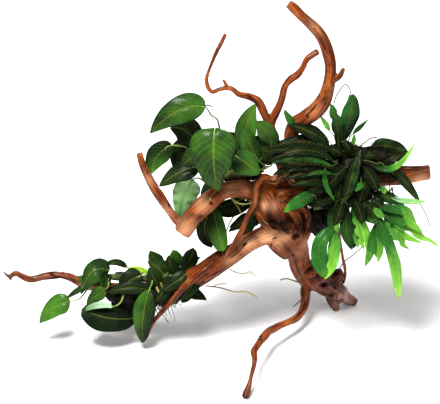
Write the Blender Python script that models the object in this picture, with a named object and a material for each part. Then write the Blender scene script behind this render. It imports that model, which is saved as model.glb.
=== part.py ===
"""Broad-leaved epiphytes and a java fern growing on a piece of branching driftwood.

Everything below is written in millimetres in one working frame: +X to the right, +Y away from
the front, +Z up, with the ground at z = 0. The finished part is shifted at the end so that the
middle of its footprint is at the origin.
"""

from math import cos, sin, tau

import bpy
from mathutils import Vector

MM = 0.001
GAP = 0.3  # clearance between two pieces that have grown together
GROUND_DEPTH = 60.0  # how far the ground cutter reaches below the feet
GROUND_SIDE = 700.0

PETIOLE_RADIUS = 1.1
BLADE_THICKNESS = 1.2  # at the midrib
EDGE_THICKNESS = 0.7
CHANNEL = 0.10  # depth of the fold along the midrib, as a share of the blade's width

# Half width of a blade along its midrib, as (share of the length, share of the full half width)
BROAD_OUTLINE = (
    (0.0, 0.10), (0.07, 0.60), (0.24, 0.94), (0.46, 1.0), (0.70, 0.74), (0.89, 0.32), (1.0, 0.03),
)
LONG_OUTLINE = ((0.0, 0.14), (0.12, 0.50), (0.36, 0.96), (0.62, 0.92), (0.85, 0.46), (1.0, 0.04))

TOWARDS_FRONT = (0.0, -0.80, 0.60)

# Wood: each route is (x, y, z, radius) from where the piece leaves its parent to its tip.
WOOD = {
    "central_stem": (12, [
        (44, 20, 219, 10), (47, 20, 212, 14), (52, 19, 200, 18), (60, 21, 177, 19.5), (71, 25, 156, 17.5),
        (84, 32, 136, 15.5), (92, 40, 113, 14), (96, 52, 88, 13), (105, 66, 64, 15), (117, 76, 47, 14),
    ]),
    "main_trunk": (12, [
        (60, 24, 199, 15), (75, 26, 200, 18.5), (104, 30, 204, 17), (139, 33, 211, 15), (174, 35, 215, 12.5),
        (208, 36, 218, 10.3), (243, 36, 222, 8.8),
    ]),
    "left_limb": (10, [
        (46, 20, 204, 12), (30, 14, 211, 11), (14, 10, 214, 10), (1, 6, 213, 10), (-11, 2, 204, 10.5),
        (-23, -2, 194, 10.8), (-33, -6, 183, 10.6), (-42, -9, 171, 9.4),
    ]),
    "left_twig": (8, [
        (-41, -7, 173, 5.5), (-51, -2, 182, 5.1), (-59, 4, 191, 4.9), (-67, 9, 202, 5.2), (-75, 13, 213, 5.5),
        (-81, 16, 224, 5.4), (-87, 18, 237, 4.8), (-90, 19, 247, 4.4), (-92, 20, 256, 4.1),
    ]),
    "arched_limb": (12, [
        (88, 34, 131, 13.5), (72, 24, 143, 12.9), (53, 15, 149, 11.4), (35, 9, 144, 10.8), (17, 5, 133, 11),
        (0, 4, 120, 12.4), (-18, 5, 105, 12.7), (-35, 9, 91, 11.8), (-53, 14, 78, 10.9), (-72, 20, 69, 10.3),
        (-96, 28, 62, 9.6), (-120, 36, 60, 8.4), (-145, 42, 60, 7.4),
    ]),
    "left_tip_branch": (6, [
        (-139, 41, 60, 5.2), (-157, 45, 61, 6.2), (-171, 46, 66, 5.4), (-182, 46, 72, 4.9), (-195, 44, 76, 4.4),
        (-211, 41, 76, 4.3), (-227, 38, 74, 4), (-237, 37, 79, 3.8), (-245, 37, 84, 3.4), (-253, 38, 78, 3),
        (-260, 40, 84, 2.2),
    ]),
    "front_twig": (6, [
        (-6, 0, 122, 4.2), (-19, -9, 117, 4.4), (-30, -9, 109, 4.2), (-40, -7, 99, 4), (-49, -4, 86, 3.6),
        (-60, 0, 68, 3.2), (-71, 5, 49, 3), (-82, 10, 28, 2.7), (-88, 15, 9, 2.6), (-95, 22, -12, 2.6),
    ]),
    "crossing_root": (6, [
        (90, 24, 212, 4), (81, 17, 224, 4.1), (71, 14, 232, 5), (60, 9, 228, 4.3), (50, 4, 233, 4.5),
        (43, 0, 228, 4.1), (41, -2, 213, 3.5), (39, -3, 201, 3.2), (33, -4, 190, 3.1), (28, -5, 177, 3),
        (21, -6, 160, 2.9), (13, -7, 146, 2.9), (6, -5, 134, 2.8),
    ]),
    "crown_stem": (8, [
        (78, 30, 209, 7.6), (71, 33, 233, 7), (63, 34, 259, 6.2), (57, 32, 284, 5.7),
    ]),
    "hooked_branch": (6, [
        (58, 32, 279, 4.4), (51, 31, 299, 4.9), (46, 30, 311, 4.9), (41, 29, 319, 4.5), (31, 28, 324, 3.9),
        (21, 27, 327, 3.3), (15, 26, 333, 3.1), (9, 25, 336, 2.7), (-2, 24, 334, 2.3), (-8, 24, 331, 2.1),
        (-13, 24, 336, 2), (-15, 25, 346, 2), (-13, 26, 355, 1.9), (-9, 28, 366, 1.8), (-3, 30, 380, 1.8),
        (2, 32, 389, 1.9), (6, 34, 398, 1.7),
    ]),
    "middle_branch": (6, [
        (57, 32, 278, 3.6), (61, 33, 295, 4.5), (66, 35, 306, 4.3), (70, 37, 316, 4.1), (73, 39, 329, 3.8),
        (79, 41, 338, 3.7), (87, 43, 343, 3.6), (93, 45, 351, 3.6), (97, 47, 360, 3.4), (102, 49, 364, 3.1),
        (110, 51, 369, 2.9),
    ]),
    "thick_branch": (10, [
        (99, 36, 210, 9.4), (89, 38, 240, 9.2), (82, 36, 267, 8.7), (86, 34, 285, 8.4), (96, 33, 295, 9.3),
        (107, 33, 305, 9.5), (115, 34, 319, 8.3), (120, 36, 334, 7), (123, 38, 349, 6.4), (123, 40, 363, 6.4),
        (120, 42, 377, 6.2), (113, 44, 391, 6.5), (102, 46, 404, 6.1), (92, 48, 414, 5.5), (84, 49, 422, 5.1),
        (77, 50, 427, 4.8),
    ]),
    "branch_spur": (6, [
        (121, 36, 338, 3.6), (131, 34, 343, 3.6), (135, 33, 348, 3.2), (138, 32, 357, 2.7),
    ]),
    "front_leg": (8, [
        (112, 73, 53, 8.6), (105, 64, 43, 8.1), (104, 57, 35, 7.1), (101, 46, 27, 6.1), (94, 33, 24, 5.2),
        (82, 19, 27, 4.7), (68, 4, 30, 4.5), (57, -10, 33, 4.5), (48, -33, 35, 4.1), (38, -55, 36, 3.8),
        (39, -69, 33, 3.4), (38, -80, 25, 3.2), (35, -92, 13, 3.4), (29, -103, -4, 4.2),
    ]),
    "rear_leg": (10, [
        (113, 73, 52, 11.5), (128, 80, 40, 13.5), (140, 88, 29, 13.5), (151, 95, 17, 10.6), (160, 101, 5, 8),
        (168, 106, -7, 7),
    ]),
    "rear_stub": (8, [
        (130, 81, 36, 7), (137, 81, 23, 6.4), (142, 82, 10, 5.6), (147, 84, -6, 5),
    ]),
    "hanging_root": (6, [
        (145, 33, 202, 2.4), (143, 29, 188, 2.3), (140, 29, 176, 2.2), (137, 31, 162, 1.9), (142, 41, 129, 1.9),
        (148, 57, 92, 1.8), (153, 75, 62, 1.9), (152, 87, 38, 2.4),
    ]),
}

# Each piece of wood is trimmed where it meets the pieces it grew from.
FORKS = {
    "main_trunk": ["central_stem"],
    "left_limb": ["central_stem"],
    "left_twig": ["left_limb"],
    "arched_limb": ["central_stem"],
    "left_tip_branch": ["arched_limb"],
    "front_twig": ["arched_limb"],
    "crossing_root": ["main_trunk", "arched_limb"],
    "crown_stem": ["main_trunk", "central_stem"],
    "hooked_branch": ["crown_stem"],
    "middle_branch": ["crown_stem", "hooked_branch"],
    "thick_branch": ["main_trunk"],
    "branch_spur": ["thick_branch"],
    "rear_leg": ["central_stem"],
    "front_leg": ["central_stem", "rear_leg"],
    "rear_stub": ["rear_leg"],
    "hanging_root": ["main_trunk", "rear_leg"],
}
FEET = ["front_leg", "front_twig", "rear_leg", "rear_stub"]

# Rhizomes: creeping stems that lie on the wood, as (x, y, z, radius)
RHIZOMES = {
    "upper_rhizome": (8, [
        (-14, 14, 216, 3.6), (0, 19, 225, 4.3), (14, 23, 227, 4.5), (30, 28, 226, 4.3), (46, 37, 231, 3.4),
    ]),
    "lower_rhizome": (8, [
        (-60, 19, 93, 3.4), (-80, 24, 85, 4), (-105, 33, 78, 4.2), (-130, 40, 76, 3.8), (-148, 43, 74, 3),
    ]),
    "fern_rhizome_upper": (8, [
        (119, 33, 230, 4), (139, 34, 233, 4.6), (160, 36, 234, 4.6), (182, 37, 234, 4), (200, 38, 233, 3),
    ]),
    "fern_rhizome_lower": (8, [
        (108, 14, 188, 3.6), (125, 15, 191, 4.4), (142, 16, 194, 4.6), (158, 18, 197, 4.2), (174, 20, 200, 3.2),
    ]),
}

# Root masses: (centre, radii)
ROOT_MASSES = {
    "fern_root_mass": ((116, 27, 163), (15, 9, 17)),
    "lower_root_mass": ((-104, 30, 35), (24, 9, 12)),
}

# Leaves: the rhizome and the place along it (0 to 1) where the stalk leaves, points that the
# stalk passes, then the blade's midrib from base to tip, and the blade's full width.
UPPER_LEAVES = {
    "outer": (0.22, [(-1, 10, 296), (-10, 7, 311)], [(-17, 4, 324), (-47, -3, 320), (-76, -6, 295)], 34),
    "shaded": (0.17, [(-15, 28, 244)], [(-28, 24, 265), (-36, 20, 284), (-52, 16, 291)], 27),
    "twigside": (0.11, [(-32, 36, 250)], [(-56, 32, 262), (-70, 29, 247), (-78, 27, 226)], 27),
    "sidepoint": (0.04, [(-17, 18, 229)], [(-26, 16, 237), (-46, 11, 232), (-69, 8, 218)], 19),
    "heart": (0.45, [(2, 12, 264)], [(-6, -16, 303), (-7, -30, 274), (-3, -22, 230)], 50),
    "upright": (0.75, [(35, 30, 240)], [(33, 28, 253), (29, 24, 283), (40, 26, 315)], 23),
    "uprightlow": (0.90, [(48, 24, 248)], [(59, 18, 267), (52, 13, 287), (40, 12, 301)], 19),
    "nearhub": (0.62, [(21, 22, 240)], [(17, 2, 262), (29, -3, 252), (39, -4, 237)], 27),
    "pale": (0.02, [(-24, 22, 222)], [(-32, 17, 222), (-41, 13, 201), (-46, 10, 172)], 27),
    "glossy": (0.38, [(2, 32, 216)], [(-8, 20, 186), (-3, 4, 165), (3, -11, 144)], 21),
    "undershade": (0.26, [(-7, 34, 205)], [(-14, 28, 169), (-18, 25, 149), (-9, 23, 128)], 19),
}
LOWER_LEAVES = {
    "arched": (0.85, [(-132, 38, 90)], [(-136, 32, 101), (-149, 24, 104), (-164, 20, 72)], 25),
    "profile": (0.60, [(-106, 42, 88)], [(-111, 42, 92), (-124, 40, 101), (-137, 40, 97)], 14),
    "outertip": (0.97, [(-158, 30, 66), (-168, 20, 58)], [(-180, 12, 59), (-198, 8, 53), (-216, 6, 32)], 23),
    "lowdark": (0.55, [(-96, 14, 66), (-95, 8, 50)], [(-101, 6, 40), (-132, -2, 45), (-164, 2, 55)], 30),
    "hanging": (0.33, [(-80, 12, 88)], [(-83, 4, 80), (-88, -8, 52), (-93, -6, 12)], 25),
    "middark": (0.46, [(-92, 28, 90)], [(-93, 22, 90), (-106, 19, 85), (-121, 16, 75)], 24),
    "spikeleft": (0.26, [(-68, 34, 88)], [(-70, 36, 92), (-76, 37, 100), (-83, 37, 114)], 16),
    "spikemid": (0.16, [(-58, 30, 98)], [(-55, 31, 100), (-53, 31, 108), (-56, 31, 119)], 16),
    "spikeright": (0.06, [(-44, 28, 100)], [(-40, 28, 102), (-35, 28, 110), (-32, 28, 124)], 16),
}
FERN_FRONDS = {
    "upright": (0.25, [(145, 34, 263)], [(146, 34, 270), (145, 32, 298), (148, 30, 323)], 21),
    "twintip": (0.20, [(137, 30, 262)], [(134, 28, 271), (129, 26, 295), (126, 24, 318)], 16),
    "backspray": (0.60, [(166, 44, 248)], [(175, 44, 252), (194, 46, 251), (217, 48, 243)], 16),
    "sickle": (0.50, [(157, 18, 248)], [(166, 12, 249), (195, 6, 247), (219, 4, 277)], 11),
    "rightdrop": (0.80, [(188, 14, 240)], [(199, 8, 240), (212, 4, 226), (229, 2, 201)], 9),
    "midrib": (0.40, [(160, 22, 258)], [(159, 14, 260), (150, -2, 238), (140, -10, 204)], 11),
    "leftlong": (0.12, [(132, 32, 250)], [(124, 28, 261), (104, 21, 281), (79, 16, 297)], 16),
    "leftmid": (0.05, [(124, 22, 250)], [(116, 18, 257), (88, 10, 264), (47, 4, 270)], 15),
    "leftlow": (0.02, [(116, 13, 236)], [(108, 8, 244), (86, 0, 250), (59, -7, 262)], 15),
}
FERN_FRONDS_BELOW = {
    "tuftpale": (0.95, [(177, 10, 202)], [(182, 8, 203), (206, 2, 202), (234, -2, 203)], 10),
    "tuftlobe": (0.85, [(172, 6, 192)], [(184, 2, 186), (216, -6, 175), (252, -10, 150)], 16),
    "tuftmid": (0.78, [(168, 2, 190)], [(181, -6, 184), (198, -14, 171), (217, -18, 153)], 16),
    "longbright": (0.70, [(168, -2, 188)], [(180, -14, 182), (192, -24, 140), (206, -30, 85)], 13),
    "tuftleft": (0.62, [(160, 6, 184)], [(172, -4, 172), (174, -14, 154), (168, -20, 129)], 14),
    "broad": (0.30, [(127, 6, 180)], [(131, 0, 168), (113, -16, 154), (121, -24, 117)], 27),
    "hanging": (0.42, [(143, 2, 188)], [(144, -2, 183), (143, -9, 166), (151, -12, 146)], 14),
    "leftpoint": (0.10, [(110, 2, 204)], [(104, -5, 214), (91, -9, 211), (73, -11, 197)], 15),
}

# slot: (colour, roughness)
MATERIALS = {
    "driftwood": ((0.36, 0.13, 0.05, 1.0), 0.42),
    "rhizome": ((0.10, 0.12, 0.05, 1.0), 0.6),
    "roots": ((0.06, 0.05, 0.02, 1.0), 0.8),
    "broad_leaf": ((0.07, 0.20, 0.04, 1.0), 0.3),
    "fern_leaf": ((0.10, 0.30, 0.03, 1.0), 0.4),
}


def clear_scene():
    for obj in list(bpy.data.objects):
        bpy.data.objects.remove(obj, do_unlink=True)


def make_material(name):
    colour, roughness = MATERIALS[name]
    material = bpy.data.materials.new(name)
    material.use_nodes = True
    shader = material.node_tree.nodes["Principled BSDF"]
    shader.inputs["Base Color"].default_value = colour
    shader.inputs["Roughness"].default_value = roughness
    material.diffuse_color = colour
    return material


def mesh_object(name, points, faces, material=None):
    """One object whose mesh holds the points, given in millimetres."""
    mesh = bpy.data.meshes.new(name)
    mesh.from_pydata([Vector(p) * MM for p in points], [], faces)
    mesh.update()
    obj = bpy.data.objects.new(name, mesh)
    bpy.context.scene.collection.objects.link(obj)
    if material:
        mesh.materials.append(material)
        mesh.shade_smooth()
    return obj


def as_cutter(obj):
    obj.hide_render = True
    obj.display_type = "WIRE"
    return obj


def ring_faces(rings, sides):
    """Side walls between rings of points, and a flat cap at each end."""
    faces = []
    for ring in range(rings - 1):
        for side in range(sides):
            following = (side + 1) % sides
            low = ring * sides
            high = low + sides
            faces.append((low + side, low + following, high + following, high + side))
    faces.append(tuple(reversed(range(sides))))
    faces.append(tuple(range((rings - 1) * sides, rings * sides)))
    return faces


def tangents_of(points):
    last = len(points) - 1
    return [(points[min(i + 1, last)] - points[max(i - 1, 0)]).normalized() for i in range(last + 1)]


def square_to(direction, tangent):
    return (direction - tangent * direction.dot(tangent)).normalized()


def carried_sides(tangents, first_side):
    """A sideways direction at each point, turned as little as possible from one to the next."""
    sides = [square_to(first_side, tangents[0])]
    for before, after in zip(tangents, tangents[1:]):
        sides.append(square_to(before.rotation_difference(after) @ sides[-1], after))
    return sides


def tube(name, route, sides, material=None, swell=0.0):
    """A round, tapering limb along the route, with its radius grown by swell."""
    centres = [Vector(stop[:3]) for stop in route]
    tangents = tangents_of(centres)
    upright = abs(tangents[0].z) > 0.7
    start = Vector((1, 0, 0)) if upright else Vector((0, 0, 1))
    points = []
    for centre, tangent, side, stop in zip(centres, tangents, carried_sides(tangents, start), route):
        other = tangent.cross(side)
        for step in range(sides):
            turn = tau * step / sides
            points.append(centre + (side * cos(turn) + other * sin(turn)) * (stop[3] + swell))
    for step in range(sides):
        points[step] -= tangents[0] * swell
        points[-1 - step] += tangents[-1] * swell
    return mesh_object(name, points, ring_faces(len(route), sides), material)


def subtract(obj, cutter):
    modifier = obj.modifiers.new("cut_" + cutter.name, "BOOLEAN")
    modifier.operation = "DIFFERENCE"
    modifier.object = cutter


def make_wood(material):
    """The limbs, each trimmed to a saddle where it leaves its parent, and flat at the feet."""
    pieces = {}
    for name, (sides, route) in WOOD.items():
        pieces[name] = tube(name, route, sides, material)
    parents = sorted({parent for grown_from in FORKS.values() for parent in grown_from})
    cutters = {}
    for name in parents:
        sides, route = WOOD[name]
        cutters[name] = as_cutter(tube(name + "_cutter", route, sides, swell=GAP))
    for child, grown_from in FORKS.items():
        for parent in grown_from:
            subtract(pieces[child], cutters[parent])
    bpy.ops.mesh.primitive_cube_add(size=1.0, location=(0, 0, -GROUND_DEPTH * MM / 2))
    ground = as_cutter(bpy.context.object)
    ground.name = "ground_cutter"
    for corner in ground.data.vertices:
        corner.co = corner.co * Vector((GROUND_SIDE, GROUND_SIDE, GROUND_DEPTH)) * MM
    for name in FEET:
        subtract(pieces[name], ground)


def lump(name, centre, radii, material):
    """A rounded mass of matted roots, uneven all round."""
    bpy.ops.mesh.primitive_ico_sphere_add(subdivisions=2, radius=1.0, location=(0, 0, 0))
    obj = bpy.context.object
    obj.name = name
    obj.data.name = name
    for point in obj.data.vertices:
        x, y, z = point.co
        uneven = 1.0 + 0.10 * sin(5 * x + 1.3) * cos(4 * z) + 0.06 * sin(7 * y)
        point.co = [(c + r * v * uneven) * MM for c, r, v in zip(centre, radii, (x, y, z))]
    obj.data.materials.append(material)
    obj.data.shade_smooth()
    return obj


def stalk_root(rhizome, share, towards):
    """The point just clear of a rhizome, at this share of its length, on the side of a stalk."""
    place = share * (len(rhizome) - 1)
    index = min(int(place), len(rhizome) - 2)
    low, high = rhizome[index], rhizome[index + 1]
    x, y, z, radius = [a + (b - a) * (place - index) for a, b in zip(low, high)]
    axis = (Vector(high[:3]) - Vector(low[:3])).normalized()
    outward = square_to(towards - Vector((x, y, z)), axis)
    return Vector((x, y, z)) + outward * (radius + PETIOLE_RADIUS + GAP)


def rib_point(rib, share):
    """A point on the parabola through the base, middle and tip of a midrib."""
    base, middle, tip = (Vector(p) for p in rib)
    bend = middle * 2 - (base + tip) * 0.5
    return base * (1 - share) ** 2 + bend * (2 * share * (1 - share)) + tip * share**2


def leaf(name, rhizome, leaf_data, outline, material, face=TOWARDS_FRONT):
    """A stalk and a blade in one closed solid: six points round each cross-section."""
    share, stalk, rib, width = leaf_data
    centres = [stalk_root(rhizome, share, Vector(stalk[0]))] + [Vector(p) for p in stalk]
    halves = [PETIOLE_RADIUS] * len(centres)
    stalk_count = len(centres)
    for station, half in outline:
        centres.append(rib_point(rib, station))
        halves.append(max(half * width / 2, EDGE_THICKNESS / 2))
    tangents = tangents_of(centres)
    blade_sides = []
    for tangent in tangents[stalk_count:]:
        blade_sides.append(square_to(Vector(face), tangent).cross(tangent))
    stalk_tangents = tangents[: stalk_count + 1][::-1]
    stalk_sides = carried_sides(stalk_tangents, blade_sides[0])[1:][::-1]
    points = []
    for index, (centre, half, side) in enumerate(zip(centres, halves, stalk_sides + blade_sides)):
        up = tangents[index].cross(side)
        is_blade = index >= stalk_count
        edge = EDGE_THICKNESS / 2 if is_blade else PETIOLE_RADIUS * 0.6
        thick = BLADE_THICKNESS / 2 if is_blade else PETIOLE_RADIUS
        sink = -up * (CHANNEL * half * 2) if is_blade else Vector()
        points += [
            centre - side * half + up * edge,
            centre - side * half - up * edge,
            centre - up * thick + sink,
            centre + side * half - up * edge,
            centre + side * half + up * edge,
            centre + up * thick + sink,
        ]
    return mesh_object(name, points, ring_faces(len(centres), 6), material)


def make_leaves(prefix, leaves, rhizome, outline, material):
    for name, leaf_data in leaves.items():
        leaf(prefix + name, rhizome, leaf_data, outline, material)


def stand_on_origin():
    """Parents everything to one empty that puts the middle of the footprint at the origin."""
    bpy.context.view_layer.update()
    graph = bpy.context.evaluated_depsgraph_get()
    corners = []
    for obj in bpy.data.objects:
        if obj.type == "MESH" and not obj.hide_render:
            mesh = obj.evaluated_get(graph).to_mesh()
            corners += [obj.matrix_world @ point.co for point in mesh.vertices]
    low = Vector([min(p[axis] for p in corners) for axis in range(3)])
    high = Vector([max(p[axis] for p in corners) for axis in range(3)])
    stand = bpy.data.objects.new("driftwood_planting", None)
    bpy.context.scene.collection.objects.link(stand)
    for obj in list(bpy.data.objects):
        if obj.type == "MESH":
            obj.parent = stand
    stand.location = (-(low.x + high.x) / 2, -(low.y + high.y) / 2, -low.z)
    bpy.context.view_layer.update()


def main():
    clear_scene()
    materials = {name: make_material(name) for name in MATERIALS}
    make_wood(materials["driftwood"])
    for name, (sides, route) in RHIZOMES.items():
        tube(name, route, sides, materials["rhizome"])
    for name, (centre, radii) in ROOT_MASSES.items():
        lump(name, centre, radii, materials["roots"])
    routes = {name: route for name, (sides, route) in RHIZOMES.items()}
    broad, long = materials["broad_leaf"], materials["fern_leaf"]
    make_leaves("upper_leaf_", UPPER_LEAVES, routes["upper_rhizome"], BROAD_OUTLINE, broad)
    make_leaves("lower_leaf_", LOWER_LEAVES, routes["lower_rhizome"], BROAD_OUTLINE, broad)
    make_leaves("frond_", FERN_FRONDS, routes["fern_rhizome_upper"], LONG_OUTLINE, long)
    make_leaves("frond_low_", FERN_FRONDS_BELOW, routes["fern_rhizome_lower"], LONG_OUTLINE, long)
    stand_on_origin()


main()
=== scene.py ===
import math
import random

import bpy
import numpy as np
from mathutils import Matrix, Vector, noise


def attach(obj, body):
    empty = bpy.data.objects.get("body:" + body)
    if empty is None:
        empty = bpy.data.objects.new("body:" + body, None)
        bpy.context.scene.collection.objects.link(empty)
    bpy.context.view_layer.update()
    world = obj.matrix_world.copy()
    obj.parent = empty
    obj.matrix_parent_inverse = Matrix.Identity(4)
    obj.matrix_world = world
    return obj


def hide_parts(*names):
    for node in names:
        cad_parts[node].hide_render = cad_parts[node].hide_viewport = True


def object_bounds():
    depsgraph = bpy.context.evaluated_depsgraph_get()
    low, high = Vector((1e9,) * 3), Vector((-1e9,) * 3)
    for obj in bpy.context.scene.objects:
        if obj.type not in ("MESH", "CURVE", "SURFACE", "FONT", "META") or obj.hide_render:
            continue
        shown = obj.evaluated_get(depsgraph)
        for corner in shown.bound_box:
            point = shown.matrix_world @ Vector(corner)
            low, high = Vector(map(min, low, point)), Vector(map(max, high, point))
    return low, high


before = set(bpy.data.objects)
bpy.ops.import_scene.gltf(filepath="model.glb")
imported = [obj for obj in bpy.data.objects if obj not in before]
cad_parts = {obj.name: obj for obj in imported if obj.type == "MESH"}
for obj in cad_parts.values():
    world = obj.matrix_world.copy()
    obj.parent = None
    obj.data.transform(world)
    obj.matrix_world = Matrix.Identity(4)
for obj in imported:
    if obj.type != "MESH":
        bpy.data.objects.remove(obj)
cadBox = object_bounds()

millimetre = 0.001
leftReach = 0.26133  # how far the left tip is from the working zero
frontReach = 0.10515  # and the front leg's tip
home = Vector((cadBox[0].x + leftReach, cadBox[0].y + frontReach, 0.0))


def spot(x, y, z):
    # a place in working millimetres, as a point of the frame
    return home + Vector((x, y, z)) * millimetre


def tint(red, green, blue):
    # an everyday 0 to 255 colour as the linear one that shaders take
    linear = [v / 255 / 12.92 if v < 11 else ((v / 255 + 0.055) / 1.055) ** 2.4 for v in (red, green, blue)]
    return (*linear, 1.0)


class Wire:
    # a socket that can stand in an expression
    def __init__(self, finish, socket):
        self.finish = finish
        self.socket = socket

    def math(self, operation, *others, swap=False):
        parts = [self, *others]
        if swap:
            parts.reverse()
        return self.finish.node("Math", {"operation": operation}, dict(enumerate(parts)))

    def __add__(self, other):
        return self.math("ADD", other)

    __radd__ = __add__

    def __mul__(self, other):
        return self.math("MULTIPLY", other)

    def __sub__(self, other):
        return self.math("SUBTRACT", other)

    def __rsub__(self, other):
        return self.math("SUBTRACT", other, swap=True)

    def __pow__(self, other):
        return self.math("POWER", other)

    def __abs__(self):
        return self.math("ABSOLUTE")

    def between(self, low, high):
        # 0 below low, 1 above high, smooth in between
        settings = {"interpolation_type": "SMOOTHSTEP"}
        return self.finish.node("MapRange", settings, {"Value": self, "From Min": low, "From Max": high})


socketNames = {
    "baseColour": "Base Color",
    "roughness": "Roughness",
    "normal": "Normal",
    "ior": "IOR",
    "coat": "Coat Weight",
    "coatRoughness": "Coat Roughness",
    "coatIor": "Coat IOR",
}


class Finish:
    # a material: constants on the shader's own sockets, and the nodes that feed the others
    def __init__(self, name, **constants):
        self.material = bpy.data.materials.new(name)
        self.material.use_nodes = True
        self.tree = self.material.node_tree
        self.shader = self.tree.nodes["Principled BSDF"]
        for key, value in constants.items():
            self.shader.inputs[socketNames[key]].default_value = value

    def node(self, kind, settings, inputs, output=0):
        made = self.tree.nodes.new("ShaderNode" + kind)
        for key, value in settings.items():
            if key == "stops":
                while len(made.color_ramp.elements) < len(value):
                    made.color_ramp.elements.new(1.0)
                for element, (place, colour) in zip(made.color_ramp.elements, value):
                    element.position = place
                    element.color = colour
            else:
                setattr(made, key, value)
        for key, value in inputs.items():
            if isinstance(value, Wire):
                self.tree.links.new(value.socket, made.inputs[key])
            else:
                made.inputs[key].default_value = value
        return Wire(self, made.outputs[output])

    def attribute(self, name, output="Fac"):
        return self.node("Attribute", {"attribute_name": name}, {}, output)

    def place(self):
        return self.node("TexCoord", {}, {}, "Object")

    def mix(self, factor, low, high):
        return self.node("Mix", {"data_type": "RGBA", "blend_type": "MIX"}, {0: factor, 6: low, 7: high}, 2)

    def stretched(self, vector, scale):
        return self.node("Mapping", {}, {"Vector": vector, "Scale": scale})

    def cloud(self, vector, scale, detail=3.0, rough=0.55, twist=0.0):
        inputs = {"Vector": vector, "Scale": scale, "Detail": detail, "Roughness": rough, "Distortion": twist}
        return self.node("TexNoise", {}, inputs)

    def bump(self, height, strength, distance):
        return self.node("Bump", {}, {"Strength": strength, "Distance": distance, "Height": height})

    def feed(self, **wires):
        for key, wire in wires.items():
            self.tree.links.new(wire.socket, self.shader.inputs[socketNames[key]])


studio = {
    "aim": (0, 0, 203),  # working mm
    "distance": 2000,
    "elevation": 30,  # degrees
    "lens": 143.0,
    "floorSize": 9.0,  # m
    "floorTint": (246, 246, 246),
    "skyStrength": 0.22,
    "lights": {  # place in working mm, watts, size in m
        "keyLight": ((-350, -600, 1750), 74, 0.6),
        "fillLight": ((1100, -900, 500), 9, 1.2),
        "rimLight": ((300, 1100, 900), 6, 1.0),
    },
}


def setStudio():
    aim = spot(*studio["aim"])
    tilt = math.radians(studio["elevation"])
    back = Vector((0, -math.cos(tilt), math.sin(tilt))) * studio["distance"] * millimetre
    bpy.ops.object.camera_add(location=aim + back)
    camera = bpy.context.object
    camera.rotation_euler = (math.pi / 2 - tilt, 0, 0)
    camera.data.lens = studio["lens"]
    bpy.context.scene.camera = camera
    bpy.ops.mesh.primitive_plane_add(size=studio["floorSize"], location=(0, 0, 0))
    floor = bpy.context.object
    floor.name = "floor"
    paint = Finish("paleFloor", roughness=0.9, baseColour=tint(*studio["floorTint"]))
    floor.data.materials.append(paint.material)
    world = bpy.data.worlds.new("studioSky")
    bpy.context.scene.world = world
    world.use_nodes = True
    world.node_tree.nodes["Background"].inputs["Color"].default_value = (1, 1, 1, 1)
    world.node_tree.nodes["Background"].inputs["Strength"].default_value = studio["skyStrength"]
    for name, (place, power, size) in studio["lights"].items():
        bpy.ops.object.light_add(type="AREA", location=spot(*place))
        light = bpy.context.object
        light.name = name
        light.data.energy = power
        light.data.size = size
        light.rotation_euler = (aim - light.location).to_track_quat("-Z", "Y").to_euler()
    bpy.context.scene.view_settings.view_transform = "Standard"
    print("studio set")


def selectOnly(*objects):
    for other in bpy.context.selected_objects:
        other.select_set(False)
    for one in objects:
        one.select_set(True)
    bpy.context.view_layer.objects.active = objects[0]


def applyModifier(piece, kind, **values):
    selectOnly(piece)
    modifier = piece.modifiers.new(kind.lower(), kind)
    for key, value in values.items():
        setattr(modifier, key, value)
    bpy.ops.object.modifier_apply(modifier=modifier.name)


def joinPieces(name, pieces):
    selectOnly(*pieces)
    if len(pieces) > 1:
        bpy.ops.object.join()
    joined = bpy.context.view_layer.objects.active
    joined.name = name
    return joined


def settle(piece, slot, *nodes):
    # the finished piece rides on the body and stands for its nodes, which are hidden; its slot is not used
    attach(piece, "root")
    if nodes:
        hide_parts(*nodes)


def readPoints(mesh, what):
    values = np.empty(len(mesh.vertices) * 3, np.float32)
    mesh.vertices.foreach_get(what, values)
    return values.reshape(-1, 3)


def addAttribute(mesh, name, values):
    # a number or a vector for each point, which the finish reads
    kind, field = ("FLOAT_VECTOR", "vector") if values.ndim == 2 else ("FLOAT", "value")
    attribute = mesh.attributes.new(name, kind, "POINT")
    attribute.data.foreach_set(field, values.astype(np.float32).ravel())


def smoothRoute(stops, step):
    # a Catmull-Rom curve through the stops, read off about every step
    stops = [np.array(stop, float) for stop in stops]
    ends = [2 * stops[0] - stops[1], *stops, 2 * stops[-1] - stops[-2]]
    read = []
    for a, b, c, d in zip(ends, ends[1:], ends[2:], ends[3:]):
        count = max(1, round(float(np.linalg.norm((c - b)[:3])) / step))
        for t in np.arange(count) / count:
            curve = 2 * b + (c - a) * t + (2 * a - 5 * b + 4 * c - d) * t**2 + (3 * b - a - 3 * c + d) * t**3
            read.append(curve / 2)
    read.append(stops[-1])
    return np.array(read)


def tubesAlong(name, routes, sides):
    # round tubes in one piece, each through its (x, y, z, radius) stops in working millimetres
    curve = bpy.data.curves.new(name, "CURVE")
    curve.dimensions = "3D"
    curve.bevel_depth = millimetre
    curve.bevel_resolution = max(0, sides // 2 - 2)
    curve.use_fill_caps = True
    for stops in routes:
        spline = curve.splines.new("POLY")
        spline.points.add(len(stops) - 1)
        for point, (x, y, z, radius) in zip(spline.points, stops):
            point.co = (*spot(x, y, z), 1.0)
            point.radius = radius
    tubes = bpy.data.objects.new(name, curve)
    bpy.context.scene.collection.objects.link(tubes)
    selectOnly(tubes)
    bpy.ops.object.convert(target="MESH")
    return bpy.context.object


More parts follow.
